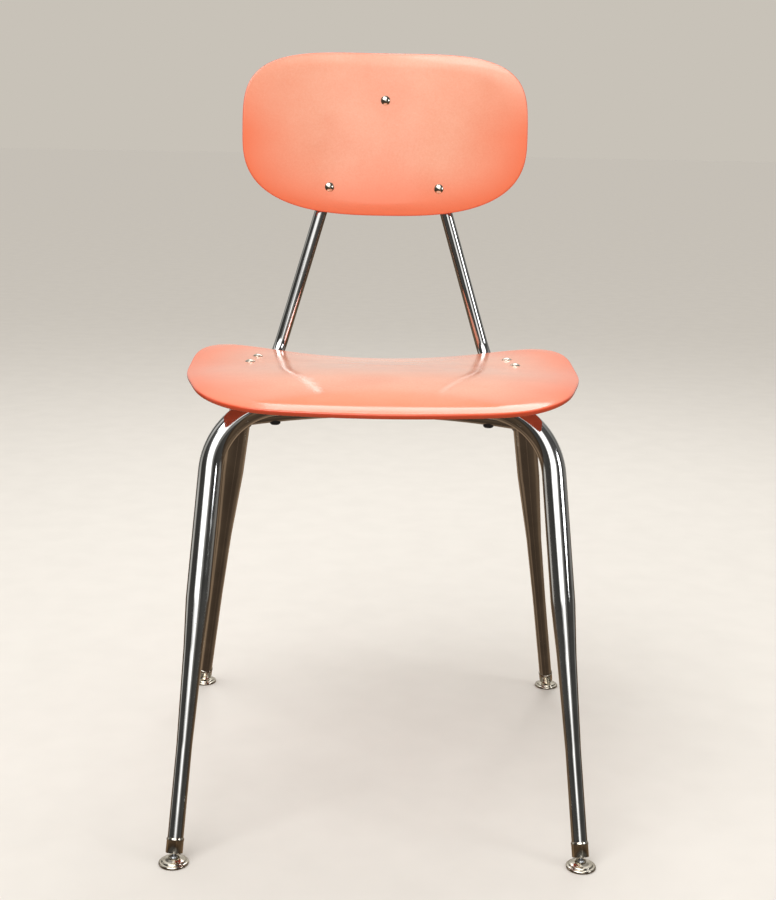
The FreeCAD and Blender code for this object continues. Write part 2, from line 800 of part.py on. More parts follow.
def make_bumpers():
    """Rubber buttons pushed into the brace from below, saddle-cut to its round underside."""
    stem = bound("bumper_hole") - 0.1
    head, foot = bound("bumper_radius"), -bound("bumper_drop")
    chamfer = bound("bumper_chamfer")
    shoulder = bound("bow_wall") * 2
    tip = bound("bow_wall") * 3
    corners = [(0, foot), (head - chamfer, foot), (head, foot + chamfer), (head, shoulder),
               (stem, shoulder), (stem, tip), (0, tip)]
    master = turned("stacking_bumper_master", corners)
    shapes = []
    for side in SIDES.values():
        shape = master.Shape.copy()
        shape.Placement = FreeCAD.Placement(bumper_spot(side), FreeCAD.Rotation())
        shapes.append(shape.cut(rear_brace.Shape).Solids[0])
    return shaped("stacking_bumpers", Part.makeCompound(shapes))


rear_brace = make_brace()
make_bumpers()

# ---------------------------------------------------------------- feet


def leg_direction(end, side):
    """Unit vector up one leg from its glide ball."""
    low = pivot(end, side)
    if end == "rear":
        high = rear_axis(side)[1]
    else:
        high = V(side * front_corner_x, aft(size("front_bar_station")), size("front_bar_height"))
    return (high - low).normalize()


def make_ferrule(label):
    """Nickel cup pressed over the leg tip."""
    out, bore = bound("ferrule_radius"), bound("ferrule_bore")
    low = bound("ferrule_low")
    floor = low + bound("ferrule_floor")
    top = low + bound("ferrule_length")
    hole = bound("stem_radius") + 0.3
    roll = 0.9
    corners = [(hole, low), (out - roll, low), (out, low + roll), (out, top), (bore, top),
               (bore, floor), (hole, floor)]
    return turned(label, corners, {1: Size(roll, repr(roll))})


def make_plug(label):
    """Plug inside the leg tip that grips the glide stem."""
    out = bound("tip_radius") - bound("tube_wall") - 0.05
    low = bound("leg_start")
    top = low + bound("plug_length")
    bore = bound("stem_radius") + 0.02
    return turned(label, [(bore, low), (out, low), (out, top), (bore, top)])


def make_stem(label):
    """Ball-ended stem driven up into the plug."""
    ball, stem = bound("ball_radius"), bound("stem_radius")
    neck_height = Size(math.sqrt(ball.number ** 2 - stem.number ** 2),
                       "sqrt(%s ^ 2 - %s ^ 2)" % (ball.text, stem.text))
    top = bound("leg_start") + bound("plug_length") - 2
    corners = [(0, -ball), (ball, 0), (stem, neck_height), (stem, top - 3), (0, top)]
    return turned(label, corners, {0: ball, 1: ball})


def make_liner(label):
    """Nylon ring between the ball and the socket, round about the same centre as both."""
    inner, outer = bound("liner_inner"), bound("liner_outer")
    high, low = bound("liner_high"), bound("liner_low")
    corners = [
        (chord(inner, low), -low), (chord(outer, low), -low),
        (outer, 0), (chord(outer, high), high),
        (chord(inner, high), high), (inner, 0),
    ]
    return turned(label, corners, {1: outer, 2: outer, 4: -inner, 5: -inner})


def make_base(label):
    """Stamped disc with a rolled rim, a step and a dome that holds the ball."""
    rim, dome = bound("base_radius"), bound("dome_radius")
    socket, centre = bound("socket_radius"), bound("pivot_height")
    top = bound("base_height")
    lip = chord(socket, top - centre)
    roll = bound("base_rim") * 0.5
    corners = [
        (0, 0), (rim - roll, 0), (rim, roll), (rim - roll, roll * 2),
        (dome, bound("base_rim") + 0.2), (lip + 1.0, top), (lip, top),
        (socket, centre), (0, centre - socket),
    ]
    return turned(label, corners, {1: roll, 2: roll, 4: as_size(24),
                                   6: -socket, 7: -socket})


def make_feet():
    for end in ("front", "rear"):
        for name, side in SIDES.items():
            where = "_%s_%s" % (end, name)
            low, up = pivot(end, side), leg_direction(end, side)
            for stem_name, make in (("ferrule", make_ferrule), ("leg_plug", make_plug),
                                    ("glide_stem", make_stem)):
                piece = make(stem_name + where)
                piece.Placement = aim(low, up)
                keep(stem_name + where, piece)
            liner = make_liner("glide_liner" + where)
            liner.Placement = FreeCAD.Placement(low, FreeCAD.Rotation())
            keep("glide_liner" + where, liner)
            base = make_base("glide_base" + where)
            base.Placement = FreeCAD.Placement(V(low.x, low.y, 0), FreeCAD.Rotation())
            keep("glide_base" + where, base)


make_feet()
doc.recompute()

# ---------------------------------------------------------------- check and write
for thing in doc.Objects:
    if "Invalid" in thing.State or "Error" in thing.State:
        raise RuntimeError("%s failed: %s" % (thing.Label, thing.State))

os.makedirs("parts", exist_ok=True)
whole = FreeCAD.BoundBox()
for label, thing in parts.items():
    shape = thing.Shape
    if shape.isNull() or not shape.isValid():
        raise RuntimeError("%s has no valid shape" % label)
    whole.add(shape.BoundBox)
    shape.exportStep("parts/%s.step" % label)
    print("%-28s solids %d  volume %9.1f" % (label, len(shape.Solids), shape.Volume))
print("box x %.2f..%.2f  y %.2f..%.2f  z %.2f..%.2f"
      % (whole.XMin, whole.XMax, whole.YMin, whole.YMax, whole.ZMin, whole.ZMax))
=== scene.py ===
# %% [markdown]
# A stacking chair: two glossy moulded shells on a chromed tube frame with swivel glides.
# The imported model is the fixed frame that everything below is fitted to.  It is loaded first.

# %% Load the frame
import bmesh
import bpy
import json
import math
import numpy as np
from mathutils import Matrix, Vector


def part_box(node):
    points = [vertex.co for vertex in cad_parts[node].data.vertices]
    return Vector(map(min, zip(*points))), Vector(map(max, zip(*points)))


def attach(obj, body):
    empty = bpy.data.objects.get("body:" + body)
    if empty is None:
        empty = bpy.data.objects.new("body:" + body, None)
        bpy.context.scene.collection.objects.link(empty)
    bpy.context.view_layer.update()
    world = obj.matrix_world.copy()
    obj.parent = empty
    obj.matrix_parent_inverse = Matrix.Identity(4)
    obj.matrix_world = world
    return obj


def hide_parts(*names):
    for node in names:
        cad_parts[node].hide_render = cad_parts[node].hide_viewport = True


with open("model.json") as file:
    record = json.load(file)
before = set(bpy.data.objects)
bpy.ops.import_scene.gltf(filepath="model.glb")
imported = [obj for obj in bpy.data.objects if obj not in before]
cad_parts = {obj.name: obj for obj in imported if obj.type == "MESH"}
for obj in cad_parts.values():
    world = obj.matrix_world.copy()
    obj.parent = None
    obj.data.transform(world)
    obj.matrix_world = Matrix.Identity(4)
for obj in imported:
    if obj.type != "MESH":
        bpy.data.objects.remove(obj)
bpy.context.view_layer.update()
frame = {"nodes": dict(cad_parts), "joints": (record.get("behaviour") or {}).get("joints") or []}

MM = 0.001

# %% [markdown]
# Node trees are built by one small function that adds a node, gives it its settings and joins its
# inputs.  Colours are written as the sRGB hex values that a paint chart would give, and one
# function turns them into the linear numbers that a renderer works in.

# %% Node and colour helpers


def add_node(tree, kind, inputs=None, **settings):
    """Add one node; each input is a plain value or another node's output socket."""
    node = tree.nodes.new(kind)
    for name, value in settings.items():
        setattr(node, name, value)
    for key, value in (inputs or {}).items():
        if isinstance(value, bpy.types.NodeSocket):
            tree.links.new(value, node.inputs[key])
        else:
            node.inputs[key].default_value = value
    return node


def linear(code):
    """An sRGB hex colour as linear RGBA."""
    channels = [int(code[i:i + 2], 16) / 255 for i in (1, 3, 5)]
    curve = [c / 12.92 if c <= 0.04045 else ((c + 0.055) / 1.055) ** 2.4 for c in channels]
    return (*curve, 1.0)


def per_mm(size):
    """Noise scale whose features are about this many millimetres across, on metre coordinates."""
    return 1000.0 / size


print("coral in linear light", [round(c, 3) for c in linear("#EEA98E")[:3]])

# %% [markdown]
# Moulded plastic, the seat and back shells.  It is a filled thermoset or ABS that copies a
# polished mould, so it is glossy (IOR about 1.5) with a faint orange peel a few millimetres across
# and a fine mottle in its pigment.  Years of sitting haze it in patches and leave fine scratches.
# Each shell carries three attributes, all of them painted shade.  "rim" marks the lower,
# downward-facing half of the rounded edge, which takes a deeper red; the second grows towards the
# edge and darkens the face there, but is left off the side that faces the light, so that side stays
# lighter as painted light; and "under" marks the back face, which takes a deeper tone as shade
# under the shell.

# %% Material: moulded coral plastic


def shader_start(name):
    material = bpy.data.materials.new(name)
    material.use_nodes = True
    tree = material.node_tree
    return material, tree, tree.nodes["Principled BSDF"]


def set_ramp(node, stops):
    ramp = node.color_ramp
    while len(ramp.elements) < len(stops):
        ramp.elements.new(0.5)
    for element, (place, color) in zip(ramp.elements, stops):
        element.position = place
        element.color = color if len(color) == 4 else (*color, 1.0)
    return node


def grey(value):
    return (value, value, value, 1.0)


coral, tree, bsdf = shader_start("moulded_coral_plastic")
place = add_node(tree, "ShaderNodeTexCoord").outputs["Object"]
rim = add_node(tree, "ShaderNodeAttribute", attribute_name="rim").outputs["Fac"]
mottle = add_node(tree, "ShaderNodeTexNoise",
                  {"Vector": place, "Scale": per_mm(2.2), "Detail": 4.0, "Roughness": 0.65})
cloud = add_node(tree, "ShaderNodeTexNoise",
                 {"Vector": place, "Scale": per_mm(90.0), "Detail": 3.0, "Roughness": 0.5})
blend = add_node(tree, "ShaderNodeMath", {0: mottle.outputs["Fac"], 1: 0.45}, operation="MULTIPLY")
blend = add_node(tree, "ShaderNodeMath",
                 {0: cloud.outputs["Fac"], 1: 0.55, 2: blend.outputs[0]},
                 operation="MULTIPLY_ADD")
field = set_ramp(add_node(tree, "ShaderNodeValToRGB", {"Fac": blend.outputs[0]}),
                 [(0.34, linear("#EA9E82")), (0.50, linear("#EEA98E")), (0.66, linear("#F1B399"))])
# Painted shade: the face darkens towards its edge to a deeper coral, except on the side that faces
# the light.
fade = add_node(tree, "ShaderNodeAttribute", attribute_name="fade").outputs["Fac"]
edge = add_node(tree, "ShaderNodeMix",
                {0: fade, 6: field.outputs["Color"], 7: linear("#EE7C58")}, data_type="RGBA")
# Painted shade: the lower, downward-facing half of the rounded rim turns a deeper red.
tone = add_node(tree, "ShaderNodeMix",
                {0: rim, 6: edge.outputs[2], 7: linear("#D4492B")}, data_type="RGBA")
# Painted shade: the back face takes a deeper tone, as shade under the shell.
under = add_node(tree, "ShaderNodeAttribute", attribute_name="under").outputs["Fac"]
tone = add_node(tree, "ShaderNodeMix",
                {0: under, 6: tone.outputs[2], 7: linear("#B5482F")}, data_type="RGBA")
tree.links.new(tone.outputs[2], bsdf.inputs["Base Color"])
haze = add_node(tree, "ShaderNodeTexNoise",
                {"Vector": place, "Scale": per_mm(55.0), "Detail": 5.0, "Roughness": 0.6})
gloss = add_node(tree, "ShaderNodeMapRange",
                 {"Value": haze.outputs["Fac"], "From Min": 0.35, "From Max": 0.7,
                  "To Min": 0.10, "To Max": 0.19})
tree.links.new(gloss.outputs["Result"], bsdf.inputs["Roughness"])
peel = add_node(tree, "ShaderNodeTexNoise",
                {"Vector": place, "Scale": per_mm(3.5), "Detail": 2.0})
bump = add_node(tree, "ShaderNodeBump",
                {"Height": peel.outputs["Fac"], "Strength": 0.03, "Distance": 0.1 * MM})
stretch = add_node(tree, "ShaderNodeMapping",
                   {"Vector": place, "Rotation": (0.1, 0.2, 0.5), "Scale": (1.0, 0.03, 1.0)})
scratch = add_node(tree, "ShaderNodeTexNoise",
                   {"Vector": stretch.outputs[0], "Scale": per_mm(0.9), "Detail": 2.0})
line = set_ramp(add_node(tree, "ShaderNodeValToRGB", {"Fac": scratch.outputs["Fac"]}),
                [(0.70, grey(0.0)), (0.74, grey(1.0))])
bump = add_node(tree, "ShaderNodeBump",
                {"Height": line.outputs["Color"], "Normal": bump.outputs[0],
                 "Strength": 0.03, "Distance": 0.03 * MM}, invert=True)
tree.links.new(bump.outputs[0], bsdf.inputs["Normal"])
bsdf.inputs["IOR"].default_value = 1.50
print("coral plastic nodes", len(tree.nodes))

# %% [markdown]
# Bright chrome plate on drawn steel tube.  Chromium is a slightly blue-grey mirror, rougher only
# where it has been rubbed, with drawing lines along the tube about 0.9 mm apart and a few pits.
# The lines follow "tube_place", a coordinate that the tubes carry: across the wall, then along.

# %% Material: chromed tube
chrome, tree, bsdf = shader_start("bright_chrome_plate")
bsdf.inputs["Metallic"].default_value = 1.0
place = add_node(tree, "ShaderNodeTexCoord").outputs["Object"]
along = add_node(tree, "ShaderNodeAttribute", attribute_name="tube_place").outputs["Vector"]
tint = add_node(tree, "ShaderNodeTexNoise", {"Vector": place, "Scale": per_mm(40.0), "Detail": 3.0})
color = set_ramp(add_node(tree, "ShaderNodeValToRGB", {"Fac": tint.outputs["Fac"]}),
                 [(0.35, linear("#CFD0D1")), (0.65, linear("#E2E3E4"))])
pit = add_node(tree, "ShaderNodeTexNoise", {"Vector": place, "Scale": per_mm(1.6), "Detail": 1.0})
spot = set_ramp(add_node(tree, "ShaderNodeValToRGB", {"Fac": pit.outputs["Fac"]}),
                [(0.76, grey(0.0)), (0.80, grey(1.0))])
tone = add_node(tree, "ShaderNodeMix",
                {0: spot.outputs["Color"], 6: color.outputs["Color"], 7: linear("#7B6656")},
                data_type="RGBA")
tree.links.new(tone.outputs[2], bsdf.inputs["Base Color"])
rub = add_node(tree, "ShaderNodeTexNoise",
               {"Vector": place, "Scale": per_mm(25.0), "Detail": 5.0, "Roughness": 0.6})
gloss = add_node(tree, "ShaderNodeMapRange",
                 {"Value": rub.outputs["Fac"], "From Min": 0.4, "From Max": 0.75,
                  "To Min": 0.05, "To Max": 0.16})
tree.links.new(gloss.outputs["Result"], bsdf.inputs["Roughness"])
stretch = add_node(tree, "ShaderNodeMapping", {"Vector": along, "Scale": (1.0, 1.0, 0.01)})
drawn = add_node(tree, "ShaderNodeTexNoise",
                 {"Vector": stretch.outputs[0], "Scale": per_mm(0.9), "Detail": 2.0})
bump = add_node(tree, "ShaderNodeBump",
                {"Height": drawn.outputs["Fac"], "Strength": 0.05, "Distance": 0.05 * MM})
tree.links.new(bump.outputs[0], bsdf.inputs["Normal"])
print("chrome nodes", len(tree.nodes))

# %% [markdown]
# The small metal and plastic parts.  Nickel plate is warmer and softer than chrome; zinc plate is
# greyer and rougher; natural nylon is a milky plastic; bumper rubber is nearly black and matt.
# All four are the same few nodes with other numbers, so one table gives them: the two ends of the
# colour, metallic, the two ends of the roughness, IOR and the grain's size in millimetres.

# %% Materials: nickel, zinc, nylon and rubber
FINISHES = {
    "bright_nickel_plate": ("#C9C1B3", "#E0DACE", 1.0, 0.08, 0.20, 1.5, 1.8),
    "zinc_plated_steel": ("#9A9DA2", "#BFC2C6", 1.0, 0.30, 0.45, 1.5, 1.2),
    "natural_nylon": ("#CFC9B8", "#E3DECF", 0.0, 0.42, 0.55, 1.53, 2.5),
    "bumper_rubber": ("#1B1B1C", "#2B2A29", 0.0, 0.70, 0.85, 1.52, 0.9),
}
small = {}
for name, (low, high, metallic, smooth, rough, ior, grain) in FINISHES.items():
    small[name], tree, bsdf = shader_start(name)
    bsdf.inputs["Metallic"].default_value = metallic
    bsdf.inputs["IOR"].default_value = ior
    place = add_node(tree, "ShaderNodeTexCoord").outputs["Object"]
    noise = add_node(tree, "ShaderNodeTexNoise",
                     {"Vector": place, "Scale": per_mm(grain * 4), "Detail": 5.0})
    color = set_ramp(add_node(tree, "ShaderNodeValToRGB", {"Fac": noise.outputs["Fac"]}),
                     [(0.35, linear(low)), (0.62, linear(high))])
    tree.links.new(color.outputs["Color"], bsdf.inputs["Base Color"])
    gloss = add_node(tree, "ShaderNodeMapRange",
                     {"Value": noise.outputs["Fac"], "From Min": 0.35, "From Max": 0.7,
                      "To Min": smooth, "To Max": rough})
    tree.links.new(gloss.outputs["Result"], bsdf.inputs["Roughness"])
    grit = add_node(tree, "ShaderNodeTexNoise", {"Vector": place, "Scale": per_mm(grain)})
    bump = add_node(tree, "ShaderNodeBump",
                    {"Height": grit.outputs["Fac"], "Strength": 0.05, "Distance": 0.05 * MM})
    tree.links.new(bump.outputs[0], bsdf.inputs["Normal"])
print("small finishes", sorted(small))

# %% [markdown]
# Smooth curves through a few stated points.  A cubic spline that passes through every point is
# how a pattern maker's batten lies, and it gives a surface with no creases for gloss to show up.

# %% Spline helper


def spline(places, values, closed=False):
    """A cubic curve through the values; closed joins the last one back to the first."""
    x, y = np.asarray(places, float), np.asarray(values, float)
    n = len(x)
    h = np.diff(x)
    system, right = np.zeros((n, n)), np.zeros(n)
    for i in range(1, n - 1):
        system[i, i - 1:i + 2] = h[i - 1], 2 * (h[i - 1] + h[i]), h[i]
        right[i] = 6 * ((y[i + 1] - y[i]) / h[i] - (y[i] - y[i - 1]) / h[i - 1])
    if closed:
        system[0, 0], system[0, -1] = 1, -1
        system[-1, 0], system[-1, 1] = 2 * h[0], h[0]
        system[-1, -1], system[-1, -2] = 2 * h[-1], h[-1]
        right[-1] = 6 * ((y[1] - y[0]) / h[0] - (y[-1] - y[-2]) / h[-1])
    else:
        system[0, 0] = system[-1, -1] = 1
    bend = np.linalg.solve(system, right)

    def at(q):
        q = np.asarray(q, float)
        i = np.clip(np.searchsorted(x, q) - 1, 0, n - 2)
        a, b, w = x[i + 1] - q, q - x[i], h[i]
        return ((bend[i] * a ** 3 + bend[i + 1] * b ** 3) / (6 * w)
                + (y[i] / w - bend[i] * w / 6) * a + (y[i + 1] / w - bend[i + 1] * w / 6) * b)

    return at


def even_loop(points, count):
    """Points at equal spacing round a closed polyline."""
    loop = np.vstack([points, points[:1]])
    run = np.concatenate([[0], np.cumsum(np.linalg.norm(np.diff(loop, axis=0), axis=1))])
    at = np.linspace(0, run[-1], count, endpoint=False)
    return np.stack([np.interp(at, run, loop[:, k]) for k in range(loop.shape[1])], axis=1)


def mesh_object(name, points, faces, material):
    mesh = bpy.data.meshes.new(name)
    mesh.from_pydata([tuple(p) for p in points], [], faces)
    mesh.polygons.foreach_set("use_smooth", [True] * len(mesh.polygons))
    mesh.materials.append(material)
    mesh.update()
    made = bpy.data.objects.new(name, mesh)
    bpy.context.scene.collection.objects.link(made)
    return made


def in_mm(low, high):
    """Both corners of a box in millimetres, for printing."""
    return [round(value / MM, 1) for value in (*low, *high)]


def mesh_box(piece):
    spots = np.array([vertex.co for vertex in piece.data.vertices])
    return spots.min(axis=0), spots.max(axis=0)


print("spline passes through its points:", float(spline([0, 1, 3], [2, 5, 4])(1.0)))

# %% [markdown]
# A moulded shell is the same thickness all over with a rounded rim, so both shells come from one
# recipe: rings shrink from the outline to a closed middle on the face, roll over the rim, and
# shrink again on the underside.  Subdividing a flat oval would pull its outline in; rings keep it.
# Moulded shells also fall away a little, about 2 mm over the last 14 mm before the rim, and that
# soft roll is what draws the pale line of light just inside the edge.

# %% Shell recipe
SHELL = 8.0
RIM_RADIUS = 3.4
AROUND = 224
RINGS = 44
RIM_STEPS = 7
# Widths of the painted shade: the rim's deeper red, and the band over which the face darkens
# towards its edge; PALE_* set how far, and how fully, the side facing the light is kept free of
# that edge shade.
RIM_BAND, EDGE_SHADE_BAND, EDGE_SHADE_POWER = 6.0, 95.0, 1.5
PALE_REACH, PALE_SHARE = 0.7, 0.9
ROLL_WIDTH, ROLL_DROP = 14.0, 1.9
ROLL_SLOPE = math.atan(2 * ROLL_DROP / ROLL_WIDTH)


def outward(loop):
    """Unit normals of an anticlockwise outline."""
    along = np.roll(loop, -1, axis=0) - np.roll(loop, 1, axis=0)
    normal = np.stack([along[:, 1], -along[:, 0]], axis=1)
    return normal / np.linalg.norm(normal, axis=1)[:, None]


def make_shell(name, loop, centre, put, pale):
    """put(u, v, depth) places a point, depth measured down from the face; pale is the direction
    of the edge that faces the light, where the painted edge shade is left off."""
    normal = outward(loop)
    flat = loop - normal * RIM_RADIUS
    middle = np.asarray(centre, float)
    shrink = np.sin(np.linspace(0, math.pi / 2, RINGS + 1))[1:]
    rings = []
    for share in shrink:
        ring = middle + (flat - middle) * share
        inside = np.linalg.norm(flat - ring, axis=1).min()
        rings.append((ring, ROLL_DROP * max(0.0, 1 - inside / ROLL_WIDTH) ** 2))
    quarter = [step / RIM_STEPS * math.pi / 2 for step in range(RIM_STEPS + 1)]
    for turn in quarter[1:]:
        lean = ROLL_SLOPE + turn * (1 - ROLL_SLOPE / (math.pi / 2))
        out = (math.sin(lean) - math.sin(ROLL_SLOPE)) / (1 - math.sin(ROLL_SLOPE))
        share = 1 - math.cos(lean) / math.cos(ROLL_SLOPE)
        deep = ROLL_DROP + (RIM_RADIUS - ROLL_DROP) * share
        rings.append((flat + normal * RIM_RADIUS * out, deep))
    for turn in quarter:
        deep = SHELL - RIM_RADIUS * (1 - math.sin(turn))
        rings.append((flat + normal * RIM_RADIUS * math.cos(turn), deep))
    rings += [(middle + (flat - middle) * s, SHELL) for s in shrink[-2::-1]]
    points, tint, field, below = [], [], [], []
    reach = max(1.0, PALE_REACH * np.abs((loop - middle) @ np.asarray(pale)).max())
    for ring, deep in rings:
        points += [put(u, v, deep) for u, v in ring]
        gap = np.linalg.norm(loop - ring, axis=1)
        # Painted shade: the rim tint covers the downward-facing half of the rounded edge and the
        # back face.
        share = np.clip((deep - ROLL_DROP) / (RIM_RADIUS - ROLL_DROP), 0, 1)
        # The back face, marked for its deeper tone of painted shade.
        under = 1.0 if np.min(deep) > RIM_RADIUS + 0.01 else 0.0
        tint += list(np.maximum(np.clip(1 - gap / RIM_BAND, 0, 1) * share, under))
        # Painted shade that deepens the face towards its edge, kept off the side that faces the
        # light.
        keeps = np.clip((ring - middle) @ np.asarray(pale) / reach, 0, 1)
        near = np.clip(1 - gap / EDGE_SHADE_BAND, 0, 1)
        field += list(near ** EDGE_SHADE_POWER * (1 - PALE_SHARE * keeps))
        below += [under] * AROUND
    points += [put(*middle, 0.0), put(*middle, SHELL)]
    tint += [0.0, 1.0]
    field += [0.0, 0.0]
    below += [0.0, 1.0]
    top, bottom = len(points) - 2, len(points) - 1
    faces = []
    for k in range(AROUND):
        n = (k + 1) % AROUND
        faces.append((top, k, n))
        for r in range(len(rings) - 1):
            a, b = r * AROUND, (r + 1) * AROUND
            faces.append((a + k, b + k, b + n, a + n))
        last = (len(rings) - 1) * AROUND
        faces.append((bottom, last + n, last + k))
    shell = mesh_object(name, points, faces, coral)
    for label, values in (("rim", tint), ("fade", field), ("under", below)):
        shell.data.attributes.new(label, "FLOAT", "POINT").data.foreach_set("value", values)
    return shell


print("shell recipe makes", (2 * RINGS + 2 * RIM_STEPS) * AROUND, "faces")

# %% [markdown]
# The seat.  Its front falls away to a lip, its crest takes the thighs, and behind that it is
# dished, with the sides rising.  Two splines give, for each distance back, the middle's height and
# how much the sides rise, which is the rule that a mould maker would loft between stations.

# %% Seat shell
PIVOTS = {joint["child"].replace("liner_", ""): Vector(joint["pos_m"])
          for joint in frame["joints"] if joint["name"].startswith("glide_roll")}
FRONT_Y = PIVOTS["front_right"].y / MM
STATION = [20, 46, 110, 180, 260, 340, 400, 450]
middle_height = spline(STATION, [446.5, 452.5, 462, 466.5, 462.5, 455.5, 449, 443])
side_rise = spline(STATION, [1, 0, -3, -5.5, -2, 8, 18, 27])
LIP = 46.0
DEPTH = 393.0
HALF = [(0, 0), (88, 4.5), (148, 20), (181.5, 58), (201, 119), (213.5, 184), (217, 255),
        (209, 330), (176, DEPTH - 18), (95, DEPTH - 3)]


def seat_height(x, station):
    return middle_height(station) + side_rise(station) * (x / 200.0) ** 2


def seat_point(x, y, deep):
    return (x * MM, y * MM, (float(seat_height(x, y - FRONT_Y)) - deep) * MM)


right = [(x, FRONT_Y + LIP + back) for x, back in HALF]
rear = [(0, FRONT_Y + LIP + DEPTH)]
left = [(-x, y) for x, y in reversed(right[1:])]
knots = np.array(right + rear + left + right[:1], float)
run = np.concatenate([[0], np.cumsum(np.linalg.norm(np.diff(knots, axis=0), axis=1))])
fine = np.linspace(0, run[-1], 3000, endpoint=False)
outline = np.stack([spline(run, knots[:, k], closed=True)(fine) for k in (0, 1)], axis=1)
# Pale (0, 0): the painted edge shade runs all round the seat.
seat = make_shell("seat", even_loop(outline, AROUND), (0, FRONT_Y + LIP + DEPTH * 0.5),
                  seat_point, (0, 0))
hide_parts("seat_shell")
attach(seat, "frame")
print("seat here  ", in_mm(*mesh_box(seat)))

# %% [markdown]
# The backrest is the same kind of shell, bent round the sitter's back and tilted.  Its outline is
# a superellipse, squarer above than below, and it is wrapped on an upright cylinder.

# %% Backrest shell
BACK_WIDE, BACK_UP, BACK_DOWN = 172.0, 101.0, 95.0
BACK_RADIUS = 480.0
LEAN = math.radians(6.85)
BACK_CENTRE = 710.0
UPPER_POWER, LOWER_POWER = 3.6, 2.85
angle = np.linspace(0, 2 * math.pi, 6000, endpoint=False)
power = np.where(np.sin(angle) >= 0, UPPER_POWER, LOWER_POWER)
reach = np.where(np.sin(angle) >= 0, BACK_UP, BACK_DOWN)
oval = np.stack([np.sign(np.cos(angle)) * np.abs(np.cos(angle)) ** (2 / power) * BACK_WIDE,
                 np.sign(np.sin(angle)) * np.abs(np.sin(angle)) ** (2 / power) * reach], axis=1)
cad_low, cad_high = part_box("backrest_shell")
rear_y = [0.0]


def back_point(x, up, deep):
    """The face is the cylinder's inside; local Y runs back through the shell."""
    y = math.sqrt((BACK_RADIUS + deep) ** 2 - x ** 2) - BACK_RADIUS - SHELL
    return (x * MM,
            rear_y[0] + (y * math.cos(LEAN) + up * math.sin(LEAN)) * MM,
            (BACK_CENTRE + up * math.cos(LEAN) - y * math.sin(LEAN)) * MM)


high_y = max(back_point(u, v, SHELL)[1] for u, v in oval[::20])
rear_y[0] = cad_high.y - high_y
# Pale (0, 1): the painted edge shade is left off the top edge, which faces the light.
back = make_shell("backrest", even_loop(oval, AROUND), (0, 0), back_point, (0, 1))
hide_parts("backrest_shell")
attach(back, "frame")
print("backrest in CAD", in_mm(cad_low, cad_high))
print("backrest here  ", in_mm(*mesh_box(back)))

# %% [markdown]
# Bent tube.  A bender leaves straight runs joined by arcs of one radius, and a swaging machine
# then squeezes the leg tips down in steps.  The centreline is laid out in code with a radius at
# each point, and a Geometry Nodes tree sweeps a circle along it, so one tree makes every tube.

# %% Centrelines


def bent_line(corners, bend, step=4.0):
    """Points along straight runs joined by tangent arcs, in millimetres."""
    corners = [np.asarray(c, float) for c in corners]
    points = [corners[0]]
    for before, corner, after in zip(corners, corners[1:], corners[2:]):
        back, on = before - corner, after - corner
        back, on = back / np.linalg.norm(back), on / np.linalg.norm(on)
        turn = math.pi - math.acos(float(np.clip(back @ on, -1, 1)))
        tangent = bend * math.tan(turn / 2)
        inward = (back + on) / np.linalg.norm(back + on)
        centre = corner + inward * bend / math.cos(turn / 2)
        start, plane_y = corner + back * tangent - centre, -back
        for share in np.linspace(0, 1, 25):
            swing = share * turn
            points.append(centre + start * math.cos(swing) + plane_y * bend * math.sin(swing))
    points.append(corners[-1])
    full = [points[0]]
    for a, b in zip(points, points[1:]):
        parts = max(1, int(np.linalg.norm(b - a) // step))
        full += [a + (b - a) * (i + 1) / parts for i in range(parts)]
    return np.array(full)


def swage(distance, foot, knee, top, knee_radius):
    """Tube radius at a distance up the leg from its ball: tip, knee, then full width."""
    return np.interp(distance, [foot, knee, top], [TIP, knee_radius, TUBE])


TUBE, TIP, LEG_START = 12.7, 7.95, 6.6
BOW, BOW_BEND, FRONT_BEND = 7.95, 36.0, 76.0
FRONT_SWAGE = (110, 206, 258, 10.2)
REAR_SWAGE = (158, 262, 362, 9.0)
PIVOT_MM = {name: np.array(spot) / MM for name, spot in PIVOTS.items()}
print("glide centres", {name: [round(v, 1) for v in spot] for name, spot in PIVOT_MM.items()})

# %% Tube tree
SIDES = 48


def group_input(tree, name, kind, default):
    socket = tree.interface.new_socket(name, in_out="INPUT", socket_type=kind)
    if default is not None:
        socket.default_value = default
    return socket.identifier


tube_tree = bpy.data.node_groups.new("swept_tube", "GeometryNodeTree")
group_input(tube_tree, "Centreline", "NodeSocketGeometry", None)
TUBE_SIDES = group_input(tube_tree, "Sides", "NodeSocketInt", SIDES)
TUBE_FINISH = group_input(tube_tree, "Finish", "NodeSocketMaterial", None)
tube_tree.interface.new_socket("Tube", in_out="OUTPUT", socket_type="NodeSocketGeometry")
given = add_node(tube_tree, "NodeGroupInput")
length = add_node(tube_tree, "GeometryNodeSplineParameter")
line = add_node(tube_tree, "GeometryNodeStoreNamedAttribute",
                {"Geometry": given.outputs["Centreline"], "Name": "run",
                 "Value": length.outputs["Length"]}, domain="POINT", data_type="FLOAT")
ring = add_node(tube_tree, "GeometryNodeCurvePrimitiveCircle",
                {"Resolution": given.outputs["Sides"], "Radius": 1.0})
spot = add_node(tube_tree, "GeometryNodeInputPosition")
ring = add_node(tube_tree, "GeometryNodeStoreNamedAttribute",
                {"Geometry": ring.outputs["Curve"], "Name": "ring_spot",
                 "Value": spot.outputs[0]}, domain="POINT", data_type="FLOAT_VECTOR")
sweep = add_node(tube_tree, "GeometryNodeCurveToMesh",
                 {"Curve": line.outputs["Geometry"], "Profile Curve": ring.outputs["Geometry"],
                  "Fill Caps": True})
if "Scale" in sweep.inputs:
    radius = add_node(tube_tree, "GeometryNodeInputRadius")
    tube_tree.links.new(radius.outputs[0], sweep.inputs["Scale"])
